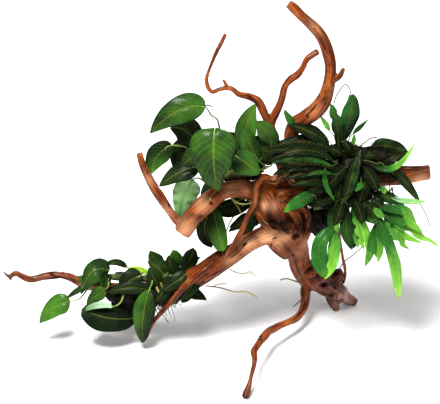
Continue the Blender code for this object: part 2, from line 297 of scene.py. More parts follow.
wood = {
    "voxel": 1.28,  # mm
    "rootVoxel": 0.6,
    "routeStep": 3.0,
    "sides": 16,
    "smoothing": 2,
    "swell": 0.35,  # the radius that smoothing takes off again
    "roughness": 0.8,  # of a limb that roughLimbs doesn't name
    "lumps": 1.7,  # height of the broad unevenness
    "crackDepth": 1.3,
    "crackWidth": 0.07,
    "grainDepth": 0.18,
    "forkBlend": 2.2,  # how softly one limb's surface runs into the next one's
    "lowest": 0.0002,  # m above the ground
    # how fast each of these changes across and along the limb
    "broadScale": (0.05, 0.035),
    "lumpScale": (0.16, 0.06),
    "crackScale": (0.13, 0.016),
    "crackPlaces": (0.08, 0.03),
    "grainScale": (0.75, 0.045),
}
woodTints = {
    "dark": (50, 17, 7),
    "light": (128, 60, 22),
    "paleFibre": (172, 92, 40),
    "darkFibre": (32, 11, 6),
    "patch": (186, 108, 56),
    "blotch": (36, 12, 6),
    # the pale colour of a painted highlight
    "paintedHighlight": (226, 164, 120),
    # the dark colour of painted shade
    "paintedShade": (20, 7, 4),
    "cracked": (26, 10, 6),
    "agedDark": (24, 15, 15),
    "agedLight": (84, 62, 64),
    "agedPatch": (168, 138, 140),
    # the colour of a painted highlight on the grey wood
    "agedHighlight": (186, 156, 160),
}

# noises in the wood's colour: scale, detail, roughness and distortion
woodNoises = {
    "fibres": (0.5, 5.0, 0.6, 0.6),
    "bands": (0.22, 3.0, 0.5, 0.8),
    "patches": (26.0, 4.0, 0.6),
    "blotches": (70.0, 3.0, 0.6),
}
woodStretch = {"fibres": 0.07, "bands": 0.12}  # how drawn out they are along the limb

# (x, y, z, radius) stops of each limb, from its fork to its tip
limbs = {
    "centralStem": [
        (44, 20, 219, 9), (47, 20, 212, 13.5), (52, 19, 200, 18), (60, 21, 177, 19.5), (71, 25, 156, 17.5),
        (84, 32, 136, 16), (92, 40, 113, 14), (96, 52, 88, 13), (105, 66, 64, 15), (117, 76, 47, 14),
    ],
    "mainTrunk": [
        (60, 24, 199, 15), (75, 26, 200, 18.5), (104, 30, 204, 17), (139, 33, 211, 15), (174, 35, 215, 12.5),
        (208, 36, 218, 10.3), (243, 36, 222, 8.8),
    ],
    "leftLimb": [
        (46, 20, 204, 12), (30, 14, 211, 11), (14, 10, 214, 10), (1, 6, 213, 10), (-11, 2, 204, 10.5),
        (-23, -2, 194, 10.8), (-33, -6, 183, 10.4), (-44, -10, 168, 9.8),
    ],
    "leftTwig": [
        (-41, -7, 173, 5.5), (-51, -2, 182, 4.9), (-59, 4, 191, 4.5), (-67, 9, 202, 4.8), (-75, 13, 213, 5.1),
        (-81, 16, 224, 5.0), (-87, 18, 237, 4.4), (-90, 19, 247, 4.0), (-92, 20, 256, 3.9),
    ],
    "archedLimb": [
        (88, 34, 131, 14), (72, 24, 143, 12.9), (53, 15, 149, 11.4), (35, 9, 144, 10.8), (17, 5, 133, 11),
        (0, 4, 120, 12.4), (-18, 5, 105, 12.7), (-35, 9, 91, 11.8), (-53, 14, 78, 10.6), (-72, 20, 69, 9.6),
        (-96, 28, 62, 8.8), (-120, 36, 60, 7.8), (-145, 42, 60, 7),
    ],
    "leftTip": [
        (-139, 41, 60, 6.8), (-157, 45, 61, 5.6), (-171, 46, 66, 4.8), (-182, 46, 72, 4.3),
        (-195, 44, 76, 3.9), (-211, 41, 76, 3.9), (-227, 38, 74, 3.6), (-237, 37, 79, 3.4),
        (-245, 37, 84, 3.0), (-253, 38, 78, 2.6), (-260, 40, 84, 1.6),
    ],
    "leftTipFork": [(-243, 37, 82, 2.4), (-249, 36, 80, 2.0), (-251, 35, 74, 1.4)],
    "frontTwig": [
        (-6, 0, 122, 4.4), (-19, -10, 117, 4.2), (-30, -12, 108, 4.0), (-40, -12, 97, 3.8),
        (-49, -9, 84, 3.4), (-60, -4, 66, 3.0), (-71, 3, 48, 2.7), (-82, 10, 28, 2.4), (-88, 15, 9, 2.3),
        (-92, 19, 0, 2.3),
    ],
    "crownStem": [(78, 30, 209, 7.6), (71, 33, 233, 7), (63, 34, 259, 6.2), (57, 32, 284, 5.7)],
    "hookedBranch": [
        (58, 32, 279, 4.4), (51, 31, 299, 4.6), (46, 30, 311, 4.6), (41, 29, 319, 4.2), (31, 28, 324, 3.7),
        (21, 27, 327, 3.2), (15, 26, 333, 3.0), (9, 25, 336, 2.6), (-2, 24, 334, 2.2), (-8, 24, 331, 2.0),
        (-13, 24, 336, 1.9), (-15, 25, 346, 1.9), (-13, 26, 355, 1.8), (-9, 28, 366, 1.7), (-3, 30, 380, 1.7),
        (2, 32, 389, 1.8), (6, 34, 398, 1.6),
    ],
    "hookSpike": [(9, 25, 335, 1.8), (6, 24, 342, 1.4), (3, 23, 348, 0.9)],
    "middleBranch": [
        (57, 32, 278, 3.6), (61, 33, 295, 4.2), (66, 35, 306, 4.0), (70, 37, 316, 3.8), (73, 39, 329, 3.6),
        (79, 41, 338, 3.5), (87, 43, 343, 3.4), (93, 45, 351, 3.4), (97, 47, 360, 3.2), (102, 49, 364, 3.0),
        (110, 51, 369, 2.8),
    ],
    "thickBranch": [
        (99, 36, 210, 9.4), (89, 38, 240, 9.2), (82, 36, 267, 8.5), (86, 34, 285, 8.1), (97, 33, 294, 8.8),
        (109, 33, 304, 9.2), (118, 34, 318, 8.0), (122, 36, 333, 6.8), (124, 38, 349, 6.3),
        (123, 40, 363, 6.3), (119, 42, 377, 6.3), (112, 44, 391, 6.6), (101, 46, 404, 6.2),
        (90, 48, 414, 5.6), (82, 49, 422, 5.2), (76, 50, 427, 4.0),
    ],
    "branchSpur": [(121, 36, 338, 3.6), (131, 34, 343, 3.4), (135, 33, 348, 3.0), (138, 32, 357, 2.4)],
    "frontLeg": [
        (112, 73, 53, 8.0), (105, 64, 43, 6.6), (104, 57, 35, 5.4), (101, 46, 27, 4.7), (94, 33, 23, 4.3),
        (83, 19, 25, 4.1), (69, 4, 28, 4.2), (58, -10, 31, 4.5), (49, -33, 34, 4.1), (40, -55, 35, 3.8),
        (40, -69, 32, 3.2), (38, -80, 24, 2.8), (34, -93, 12, 2.8), (29, -103, 3, 3.6),
    ],
    "rearLeg": [
        (113, 73, 52, 11.5), (128, 80, 40, 13.5), (140, 86, 29, 12.5), (153, 91, 16, 8.8), (167, 98, 1, 7.0),
    ],
    "rearStub": [(130, 81, 36, 7), (137, 81, 23, 6.4), (142, 82, 10, 5.6), (145, 83, 1, 5)],
    "archKnob": [(62, 12, 142, 8), (70, 14, 132, 7.5), (79, 20, 120, 7)],
    "stubUp": [(124, 72, 58, 9), (129, 70, 68, 7), (132, 68, 74, 5)],
    "stubSide": [(134, 78, 48, 9), (144, 76, 55, 6.5), (149, 76, 58, 5)],
    "stubFront": [(104, 52, 84, 9), (108, 44, 84, 8), (110, 40, 82, 6)],
    "buttressA": [
        (72, 12, 196, 5), (86, 12, 182, 5.5), (92, 15, 165, 5), (92, 20, 148, 4.5), (94, 30, 130, 4),
    ],
    "buttressB": [
        (84, 18, 198, 5), (98, 18, 184, 4.5), (104, 22, 166, 4), (103, 28, 146, 3.5), (100, 36, 128, 3),
    ],
    "buttressD": [(84, 30, 200, 7), (92, 30, 184, 7), (95, 32, 166, 7), (95, 34, 148, 7), (94, 36, 126, 6)],
    "buttressC": [(60, 6, 182, 4), (68, 6, 168, 4.5), (78, 12, 154, 4), (84, 18, 142, 3.5)],
}
roughLimbs = {
    "centralStem": 0.9, "archedLimb": 0.7, "leftLimb": 0.7, "rearLeg": 2.2, "rearStub": 2.0, "stubUp": 2.0,
    "stubSide": 2.0, "stubFront": 1.6, "frontLeg": 1.0, "leftTip": 0.9, "leftTipFork": 0.5,
    "hookedBranch": 0.5, "hookSpike": 0.3, "leftTwig": 0.6, "frontTwig": 0.5, "middleBranch": 0.7,
    "branchSpur": 0.6, "buttressA": 1.2, "buttressB": 1.2, "buttressC": 1.2,
}
driftwoodNodes = [
    "central_stem", "main_trunk", "left_limb", "left_twig", "arched_limb", "left_tip_branch", "front_twig",
    "crown_stem", "hooked_branch", "middle_branch", "thick_branch", "branch_spur", "front_leg", "rear_leg",
    "rear_stub",
]
# thin roots: the nodes they stand for, how rough they are, and their stops
rootRuns = {
    "crossingRoot": (["crossing_root"], 0.9, [
        (92, 22, 214, 4.6), (84, 16, 222, 5.4), (78, 14, 229, 4.4), (71, 13, 231, 5.4), (60, 9, 227, 4.2),
        (50, 4, 232, 5.0), (43, 0, 227, 3.8), (41, -2, 213, 3.2), (39, -3, 201, 2.9), (33, -4, 190, 2.8),
        (28, -5, 177, 2.7), (21, -6, 160, 2.6), (13, -7, 146, 2.6), (6, -5, 134, 2.4), (0, -6, 124, 1.6),
    ]),
    "cavityRoot": ([], 0.5, [
        (40, -1, 194, 1.4), (46, -2, 186, 1.5), (54, -3, 179, 1.4), (62, -3, 172, 1.3), (71, -1, 166, 1.2),
        (80, 3, 158, 0.8),
    ]),
    "hangingRoot": (["hanging_root"], 0.5, [
        (145, 33, 202, 2.2), (143, 29, 188, 2.0), (140, 29, 176, 1.9), (137, 31, 162, 1.6),
        (142, 41, 129, 1.5), (148, 57, 92, 1.4), (153, 75, 62, 1.5), (152, 87, 38, 2.0),
    ]),
}

# hollows and knots in the wood: centre, radius, depth, height of the rim
knots = [
    ((108, 39, 86), 6.5, 8.5, 3.2), ((111, 45, 75), 4.0, 4.5, 1.0), ((98, 41, 92), 3.5, 2.5, 0.8),
    ((124, 58, 66), 5.0, 4.5, 1.4), ((128, 66, 48), 4.5, 4.5, 1.2), ((142, 72, 42), 4.0, 3.5, 1.2),
    ((146, 84, 30), 4.0, 3.0, 1.0), ((101, 38, 72), 4.5, 3.0, 1.6), ((118, 50, 58), 5.0, -2.5, 0.0),
    ((134, 66, 56), 5.5, -3.0, 0.0), ((148, 80, 18), 5.0, 3.5, 1.6), ((136, 72, 28), 4.5, 3.5, 1.4),
    ((122, 60, 40), 4.0, 3.0, 1.0), ((154, 90, 26), 4.5, -2.5, 0.0), ((86, 24, 118), 3.0, 2.2, 0.8),
    ((48, 3, 170), 5.5, 5.0, 0.0), ((57, 1, 173), 6.0, 6.0, 0.0), ((69, 4, 169), 6.0, 6.0, 0.0),
    ((80, 8, 158), 6.0, 5.0, 0.0), ((89, 14, 147), 5.5, 4.0, 0.0), ((63, 0, 172), 6.0, 5.0, 0.0),
    ((75, 5, 164), 5.0, 3.0, 0.0), ((80, 4, 178), 4.0, 3.0, 0.0), ((84, 8, 190), 4.5, 3.0, 0.0),
    ((74, 26, 124), 2.6, 2.0, 0.8), ((-10, -8, 206), 2.6, 1.6, 0.7), ((-22, -12, 192), 2.2, 1.0, 0.4),
    ((99, 26, 300), 3.0, 1.2, 0.5), ((50, 4, 196), 4.0, -1.5, 0.4), ((-60, 5, 196), 2.0, 0.8, 0.3),
    ((-16, -6, 110), 3.0, 1.5, 0.5),
]
# where the wood carries a painted highlight, where it carries painted shade, and where it has gone grey:
# centre, radius, strength
paintedHighlight = [
    ((34, -4, 147), 11, 0.9), ((57, 0, 153), 12, 1.2), ((72, 6, 148), 11, 1.2), ((14, -8, 130), 10, 0.5),
    ((78, 12, 231), 8, 0.45), ((64, 10, 229), 8, 0.45), ((14, 0, 218), 11, 0.35), ((30, 6, 220), 10, 0.35),
    ((152, 86, 20), 10, 1.1), ((158, 92, 10), 9, 0.9), ((132, 70, 60), 6, 0.4), ((100, 28, 130), 8, 0.6),
    ((62, 2, 196), 7, 0.5), ((-38, -16, 174), 13, 0.7), ((-20, -8, 204), 10, 0.5), ((232, 28, 212), 10, 1.4),
    ((50, 0, 196), 7, 0.8), ((108, 24, 308), 12, 0.15), ((104, 40, 405), 10, 0.3), ((-100, 20, 66), 10, 0.4),
    ((-160, 38, 64), 10, 0.5), ((92, 30, 120), 9, 0.5), ((-62, 0, 190), 9, 0.5), ((-82, 12, 226), 9, 0.4),
]
# painted shade: dark patches where shade falls in the hollows, under the roots and under the arch
paintedShade = [
    ((48, 2, 222), 11, 0.9), ((60, 0, 176), 15, 1.0), ((76, 5, 170), 15, 1.0), ((85, 10, 200), 14, 0.9),
    ((92, 14, 165), 14, 0.9), ((72, 10, 228), 9, 0.7), ((-8, 0, 131), 17, 0.8), ((37, 2, 157), 8, 0.8),
    ((39, 2, 194), 8, 0.8), ((104, 44, 100), 12, 0.7), ((120, 60, 70), 12, 0.9), ((136, 74, 58), 11, 0.9),
    ((70, 14, 132), 12, 0.6), ((92, 26, 110), 10, 0.4), ((-20, 0, 112), 12, 0.5), ((99, 26, 292), 8, 0.5),
    ((20, 4, 212), 7, 0.4), ((-30, -4, 96), 8, 0.4), ((60, 30, 255), 6, 0.5), ((226, 36, 230), 11, 1.0),
    ((206, 34, 228), 13, 0.9), ((86, 30, 250), 9, 0.4), ((90, 28, 232), 9, 0.5), ((132, 64, 62), 7, 0.8),
    ((39, -78, 26), 14, 0.45), ((32, -98, 6), 13, 0.7),
]
greyed = [
    ((128, 76, 44), 20, 1.0), ((144, 88, 28), 22, 1.0), ((152, 94, 12), 18, 0.9), ((118, 66, 58), 10, 0.5),
    ((141, 82, 14), 12, 1.0), ((-255, 38, 80), 10, 0.7), ((100, 52, 98), 8, 0.3), ((-205, 40, 76), 38, 0.35),
]


def near(points, places):
    # how close each point lies to any of the places, from 0 to 1
    closeness = np.zeros(len(points))
    for centre, radius, strength in places:
        reach = np.linalg.norm(points - np.array(centre), axis=1) / radius
        closeness = np.maximum(closeness, strength * np.exp(-(reach**2)))
    return closeness


def nearestOnRoutes(points, routes):
    # for every point: each route's gap to it, and where it lies beside that route's nearest stop
    gaps, beside = [], []
    for route in routes:
        centres = route[:, :3].astype(np.float32)
        ahead = np.gradient(centres, axis=0)
        ahead /= np.linalg.norm(ahead, axis=1, keepdims=True)
        travelled = np.concatenate([[0], np.cumsum(np.linalg.norm(np.diff(centres, axis=0), axis=1))])
        side = np.cross(ahead, (0.31, 0.17, 0.93) if abs(ahead[0, 2]) < 0.8 else (0.93, 0.31, 0.17))
        for index in range(1, len(side)):
            side[index] = side[index - 1] - ahead[index] * (side[index - 1] @ ahead[index])
            side[index] /= np.linalg.norm(side[index])
        side[0] /= np.linalg.norm(side[0])
        other = np.cross(ahead, side)
        apart = ((points[:, None, :] - centres[None]) ** 2).sum(2)
        nearest = apart.argmin(1)
        offset = points - centres[nearest]
        along = (offset * ahead[nearest]).sum(1)
        across = (offset * side[nearest]).sum(1)
        gaps.append(np.sqrt(apart[np.arange(len(points)), nearest]) - route[nearest, 3])
        beside.append(np.stack([across, (offset * other[nearest]).sum(1), travelled[nearest] + along], 1))
    return np.array(gaps), np.array(beside)


def noiseBeside(place, scale, shift):
    # smooth noise at a place beside its limb, drawn out along the limb
    across, along = scale
    a, b, s = place
    return noise.noise(Vector((a * across + shift[0], b * across + shift[1], s * along + shift[2])))


def unevenness(place, seed):
    # the height of the surface there, and how deep in a crack it is
    lump = noiseBeside(place, wood["broadScale"], (seed, 0, 0))
    lump += 0.5 * noiseBeside(place, wood["lumpScale"], (0, seed, 0))
    line = abs(noiseBeside(place, wood["crackScale"], (0, seed, 0)))
    opening = noiseBeside(place, wood["crackPlaces"], (9, 0, seed))
    crack = max(0.0, 1 - line / wood["crackWidth"]) * max(0.0, min(1.0, opening * 3 + 0.5))
    fine = noiseBeside(place, wood["grainScale"], (0, seed, 0))
    return lump * wood["lumps"] - crack * wood["crackDepth"] + fine * wood["grainDepth"], crack


def carveWood(piece, routes, roughness):
    # pushes each point along its normal by lumps, cracks and grain that run along its own limb
    mesh = piece.data
    places, normals = readPoints(mesh, "co"), readPoints(mesh, "normal")
    count = len(places)
    every = np.arange(count)
    working = (places - np.array(home)) / millimetre
    gaps = np.empty((len(routes), count), np.float32)
    beside = np.empty((len(routes), count, 3), np.float32)
    atOnce = 20000  # more would take much memory
    for start in range(0, count, atOnce):
        part = slice(start, start + atOnce)
        gaps[:, part], beside[:, part] = nearestOnRoutes(working[part], routes)
    order = gaps.argsort(0)[:2]
    grain = beside[order[0], every].copy()
    grain[:, 2] += order[0] * 400  # so that no two limbs share a pattern
    push, crackMask = np.zeros(count), np.zeros(count)
    for closest, other in zip(order, order[::-1]):
        weight = np.ones(count)
        if len(routes) > 1:
            weight = 1 / (1 + np.exp((gaps[closest, every] - gaps[other, every]) / wood["forkBlend"] * 2))
        local = beside[closest, every]
        share = weight * roughness[closest]
        for index in np.nonzero(weight > 0.02)[0]:
            height, crack = unevenness(local[index], closest[index] * 37.7)
            push[index] += share[index] * height
            crackMask[index] += weight[index] * crack
    for centre, radius, depth, rim in knots:
        reach = np.linalg.norm(working - np.array(centre), axis=1) / radius
        push += rim * np.exp(-(((reach - 1.25) / 0.35) ** 2)) - depth * np.exp(-(reach**2) * 1.6)
        crackMask = np.maximum(crackMask, np.exp(-(reach**2) * 1.4) * (depth > 0.5))
    places += normals * (push * millimetre)[:, None]
    places[:, 2] = np.maximum(places[:, 2], wood["lowest"])
    mesh.vertices.foreach_set("co", places.ravel())
    addAttribute(mesh, "grain", grain)
    addAttribute(mesh, "crack", crackMask)
    # the first mask is a painted highlight, the last is painted shade
    addAttribute(mesh, "bleach", near(working, paintedHighlight))
    addAttribute(mesh, "aged", near(working, greyed))
    addAttribute(mesh, "stain", near(working, paintedShade))
    mesh.update()


def growWood(name, runs, roughness, voxel, paint):
    routes = [smoothRoute(stops, wood["routeStep"]) for stops in runs]
    piece = tubesAlong(name, [route + (0, 0, 0, wood["swell"]) for route in routes], wood["sides"])
    applyModifier(piece, "REMESH", mode="VOXEL", voxel_size=voxel * millimetre)
    applyModifier(piece, "SMOOTH", factor=0.5, iterations=wood["smoothing"])
    carveWood(piece, routes, np.array(roughness))
    selectOnly(piece)
    bpy.ops.object.shade_smooth()
    piece.data.materials.clear()
    piece.data.materials.append(paint)
    return piece


def woodFinish():
    shade = {name: tint(*value) for name, value in woodTints.items()}
    paint = Finish("wetDriftwood", coatRoughness=0.12, coatIor=1.35, ior=1.1)
    grain = paint.attribute("grain", "Vector")
    fibres, bands = (
        paint.cloud(paint.stretched(grain, (1.0, 1.0, stretch)), *woodNoises[name])
        for name, stretch in woodStretch.items()
    )
    place = paint.place()
    patches, blotches = (paint.cloud(place, *woodNoises[name]) for name in ("patches", "blotches"))
    # masks of painted highlight and painted shade
    bleach = paint.attribute("bleach")
    stain = paint.attribute("stain")
    crack = paint.attribute("crack")
    colour = paint.mix(bands.between(0.34, 0.66), shade["dark"], shade["light"])
    colour = paint.mix(fibres.between(0.48, 0.75) * 0.3, colour, shade["paleFibre"])
    colour = paint.mix(fibres.between(0.48, 0.32) * 0.5, colour, shade["darkFibre"])
    colour = paint.mix(patches.between(0.52, 0.72) * 0.4, colour, shade["patch"])
    colour = paint.mix(blotches.between(0.52, 0.72) * 0.6, colour, shade["blotch"])
    # painted highlight: pale streaks along the grain where light catches the wood
    colour = paint.mix(bleach * (fibres * 1.5 - 0.1), colour, shade["paintedHighlight"])
    aged = paint.mix(bands.between(0.38, 0.62), shade["agedDark"], shade["agedLight"])
    aged = paint.mix(blotches.between(0.42, 0.30) * 0.7, aged, shade["agedPatch"])
    # painted highlight on the grey wood as well
    aged = paint.mix(bleach * 0.8, aged, shade["agedHighlight"])
    colour = paint.mix(paint.attribute("aged") * 0.9, colour, aged)
    # painted shade: near-black brown where shade falls
    colour = paint.mix(stain * (1.2 - fibres * 0.4), colour, shade["paintedShade"])
    colour = paint.mix(crack.between(0.12, 0.6) * 0.9, colour, shade["cracked"])
    paint.feed(
        baseColour=colour,
        # painted shade also gets rougher, coatless wood, so that no highlight lifts it
        roughness=0.24 + patches * 0.28 + crack * 0.3 + stain * 0.3,
        coat=(1 - stain) * (1 - crack) * 0.24,
        normal=paint.bump(fibres * 0.6 + blotches * 0.4, 0.5, 0.0008),
    )
    return paint.material


def makeDriftwood(paint):
    roughness = [roughLimbs.get(name, wood["roughness"]) for name in limbs]
    driftwood = growWood("driftwood", limbs.values(), roughness, wood["voxel"], paint)
    settle(driftwood, "driftwood", *driftwoodNodes)
    print("driftwood", len(driftwood.data.polygons), "faces")
    for name, (nodes, rough, stops) in rootRuns.items():
        settle(growWood(name, [stops], [rough], wood["rootVoxel"], paint), "driftwood", *nodes)
    print("thin roots grown")


blade = {
    "across": 14,  # cells of the flat blade
    "along": 40,
    "thickness": 0.7,  # mm
    "ribSunk": 0.9,
    "quilt": 0.34,  # height between two side veins
    "stalkStep": 4.0,
    "stalkEnd": 0.45,  # of the stalk's first radius
    "underRib": 0.45,  # how far the stalk runs on under the midrib
    "stray": 0.25,  # how much each leaf leans and twists by chance
    "strayFaced": 0.4,  # the share of that for a leaf with a face of its own
}
# powers of the distance from base and tip, then how far the lobes reach behind the base
outlines = {
    "broad": (0.44, 0.84, 0.04),
    "heart": (0.34, 0.80, 0.06),
    "wing": (0.50, 0.84, 0.02),
    "paddle": (0.80, 0.66, 0.0),
    "oval": (0.54, 0.72, 0.0),
    "long": (0.62, 0.74, 0.0),
    "frond": (0.70, 0.80, 0.0),
    "strap": (0.50, 0.42, 0.0),
    "blunt": (0.50, 0.60, 0.0),
}
# what sets one leaf's shape apart from its kind's
# side makes one half of the blade lighter and the other darker, as painted light and shade; pale mixes in a
# painted reflection
plainLeaf = {"side": 0, "lobes": 0, "fold": 0.1, "quilt": 1, "pale": 0.0, "face": (0.0, -0.80, 0.60)}
broadKind = {
    **plainLeaf, "outline": "broad", "cup": -0.08, "wave": 0.030, "waves": 2, "veins": 9, "slant": 0.32,
    "relief": 1.0, "stalk": 1.2, "wobble": 0.7, "veined": 0.18,
}
frondKind = {
    **plainLeaf, "outline": "frond", "cup": -0.06, "wave": 0.07, "waves": 3, "veins": 14, "slant": 0.10,
    "relief": 0.5, "stalk": 0.9, "wobble": 1.4, "veined": 0.5,
}

# each leaf has its share along the rhizome, its stalk's stops, its midrib as base, middle and tip, its width,
# its tone at base and tip from 0 dark to 1 yellow-green (low tones are painted shade), and what sets its
# shape apart
upperLeaves = {
    "outer": (0.22, [(-1, 10, 296), (-10, 7, 311)], [(-17, 4, 323), (-46, -3, 322), (-78, -6, 295)],
        32, 0.40, 0.26, {"outline": "wing", "cup": -0.12, "side": 0.05}),
    "shaded": (0.17, [(-15, 28, 244)], [(-26, 24, 262), (-38, 20, 284), (-56, 16, 290)],
        33, 0.12, 0.10, {"outline": "oval"}),
    # twigside: side paints one half in shade and the other in light
    "twigside": (0.11, [(-32, 36, 250)], [(-57, 32, 259), (-74, 29, 244), (-79, 27, 224)],
        25, 0.08, 0.56, {"outline": "broad", "side": 0.16, "fold": 0.25}),
    "sidepoint": (0.04, [(-17, 18, 229)], [(-26, 16, 240), (-46, 11, 236), (-70, 8, 219)],
        26, 0.22, 0.18, {"outline": "broad"}),
    "heart": (0.45, [(2, 12, 264)], [(-6, -16, 303), (-7, -30, 274), (-3, -22, 230)],
        52, 0.36, 0.32,
        {"outline": "heart", "cup": -0.16, "wave": 0.04, "waves": 3, "quilt": 2.6, "veined": 0.30}),
    "upright": (0.75, [(35, 30, 240)], [(33, 28, 253), (29, 24, 283), (40, 26, 315)],
        25, 0.40, 0.46, {"outline": "oval", "side": -0.10, "veined": 0.4}),
    "uprightlow": (0.90, [(48, 24, 248)], [(59, 18, 267), (52, 13, 287), (40, 12, 301)],
        22, 0.24, 0.46, {"outline": "broad"}),
    "nearhub": (0.62, [(21, 22, 240)], [(17, 2, 262), (31, -3, 254), (45, -4, 242)],
        31, 0.26, 0.42, {"outline": "broad", "fold": 0.15}),
    # pale: a painted reflection over the leaf's base
    "pale": (0.02, [(-24, 22, 222)], [(-32, 17, 222), (-41, 13, 201), (-46, 10, 172)],
        30, 0.84, 0.40, {"outline": "broad", "pale": 0.6, "quilt": 2.4, "wave": 0.06, "waves": 4}),
    "glossy": (0.38, [(2, 32, 216)], [(-8, 20, 186), (-3, 4, 165), (3, -11, 144)],
        22, 0.18, 0.50, {"outline": "strap", "side": 0.12, "cup": -0.25}),
    "undershade": (0.26, [(-7, 34, 205)], [(-14, 28, 169), (-18, 25, 149), (-9, 23, 128)],
        20, 0.10, 0.08, {"outline": "oval"}),
}
upperExtras = {
    "heartback": (0.30, [(-5, 10, 252)], [(-15, 2, 267), (-30, -2, 263), (-44, -4, 251)], 25, 0.28, 0.2, {}),
    "inner": (0.68, [(30, 40, 205)], [(37, 36, 162), (27, 30, 160), (11, 26, 154)], 16, 0.10, 0.12, {}),
    "backdark": (0.16, [(-17, 40, 229)], [(-34, 40, 258), (-46, 37, 244), (-50, 34, 224)], 28, 0.10, 0.1, {}),
    "heartShade": (0.3, [(-9, 22, 239)], [(-18, 24, 247), (-34, 22, 246), (-49, 18, 235)], 24, 0.2, 0.16, {}),
    "blackBack": (0.1, [(-17, 34, 229)], [(-31, 34, 255), (-44, 34, 242), (-53, 32, 227)], 25, 0.06, 0.1, {}),
    "lowerDark": (0.55, [(49, 26, 175)], [(46, 24, 163), (29, 22, 164), (10, 18, 152)], 16, 0.1, 0.14, {}),
    "underLimbB": (0.7, [(40, 30, 190)], [(34, 28, 186), (14, 24, 176), (-6, 22, 174)], 13, 0.14, 0.1, {}),
    "underLimbC": (0.65, [(38, 30, 184)], [(40, 26, 176), (34, 20, 160), (22, 16, 148)], 14, 0.12, 0.2, {}),
    "gapLeaf": (0.85, [(50, 34, 226)], [(50, 30, 234), (44, 26, 246), (36, 22, 256)], 20, 0.16, 0.3, {}),
    "gapLeafB": (0.95, [(56, 34, 230)], [(60, 24, 240), (56, 16, 256), (46, 12, 268)], 20, 0.14, 0.26, {}),
    "underLimb": (0.6, [(35, 30, 191)], [(27, 30, 190), (5, 28, 181), (-17, 26, 181)], 14, 0.16, 0.08, {}),
    "foldedLow": (0.8, [(53, 20, 236)], [(43, 16, 249), (34, 12, 269), (26, 10, 291)], 26, 0.26, 0.36, {}),
    "behindHub": (0.7, [(49, 36, 228)], [(44, 36, 241), (48, 36, 259), (59, 34, 278)], 26, 0.14, 0.22, {}),
    "rearLeft": (0.2, [(-8, 44, 230)], [(-14, 54, 238), (-26, 64, 244), (-36, 72, 236)],
        28, 0.38, 0.3, {"face": (0.2, 0.7, 0.7)}),
    "rearMiddle": (0.5, [(14, 46, 230)], [(10, 56, 240), (2, 66, 248), (-8, 76, 240)],
        30, 0.42, 0.34, {"outline": "heart", "face": (0.0, 0.75, 0.66)}),
    "rearRight": (0.8, [(34, 48, 232)], [(38, 56, 238), (44, 66, 242), (48, 76, 234)],
        24, 0.34, 0.4, {"face": (0.1, 0.6, 0.8)}),
    "rearLow": (0.35, [(0, 42, 214)], [(-4, 52, 204), (-12, 60, 186), (-22, 62, 168)],
        24, 0.3, 0.24, {"face": (-0.1, 0.8, 0.5)}),
    "rearTwig": (0.08, [(-20, 34, 224)], [(-30, 44, 226), (-42, 50, 222), (-52, 54, 208)],
        22, 0.36, 0.3, {"face": (-0.2, 0.7, 0.7)}),
    "fillDark": (0.6, [(20, 40, 228)], [(22, 42, 238), (19, 42, 254), (11, 42, 271)], 30, 0.05, 0.1, {}),
    "fillLow": (0.5, [(14, 38, 224)], [(13, 36, 222), (8, 34, 232), (2, 34, 243)], 22, 0.06, 0.1, {}),
}
lowerLeaves = {
    "arched": (0.85, [(-132, 38, 90)], [(-134, 32, 91), (-153, 24, 92), (-166, 20, 64)],
        29, 0.24, 0.34, {"outline": "broad", "cup": -0.2, "face": (-0.45, -0.7, 0.6)}),
    "profile": (0.60, [(-106, 42, 88)], [(-111, 42, 88), (-124, 40, 97), (-137, 40, 93)],
        8, 0.14, 0.2, {"outline": "oval"}),
    "outertip": (0.97, [(-158, 30, 66), (-168, 20, 58)], [(-180, 12, 59), (-198, 8, 53), (-216, 6, 32)],
        25, 0.42, 0.54, {"outline": "broad"}),
    "lowdark": (0.55, [(-96, 14, 66), (-95, 8, 50)], [(-101, 6, 40), (-132, -2, 45), (-164, 2, 55)],
        33, 0.02, 0.16, {"outline": "strap", "cup": -0.15, "veined": 0.03}),
    "hanging": (0.33, [(-80, 12, 88)], [(-84, 4, 80), (-91, -8, 52), (-93, -6, 11)],
        27, 0.36, 0.26, {"outline": "oval", "side": -0.16}),
    "middark": (0.46, [(-92, 28, 90)], [(-93, 22, 90), (-106, 19, 85), (-121, 16, 75)],
        26, 0.10, 0.12, {"outline": "oval"}),
    "spikeleft": (0.26, [(-68, 34, 88)], [(-70, 36, 92), (-76, 37, 100), (-83, 37, 114)],
        19, 0.2, 0.34, {"outline": "long"}),
    "spikemid": (0.16, [(-58, 30, 98)], [(-55, 31, 100), (-53, 31, 108), (-56, 31, 119)],
        17, 0.22, 0.5, {"outline": "long"}),
    "spikeright": (0.06, [(-44, 28, 100)], [(-40, 28, 102), (-35, 28, 110), (-32, 28, 124)],
        19, 0.14, 0.18, {"outline": "long"}),
}
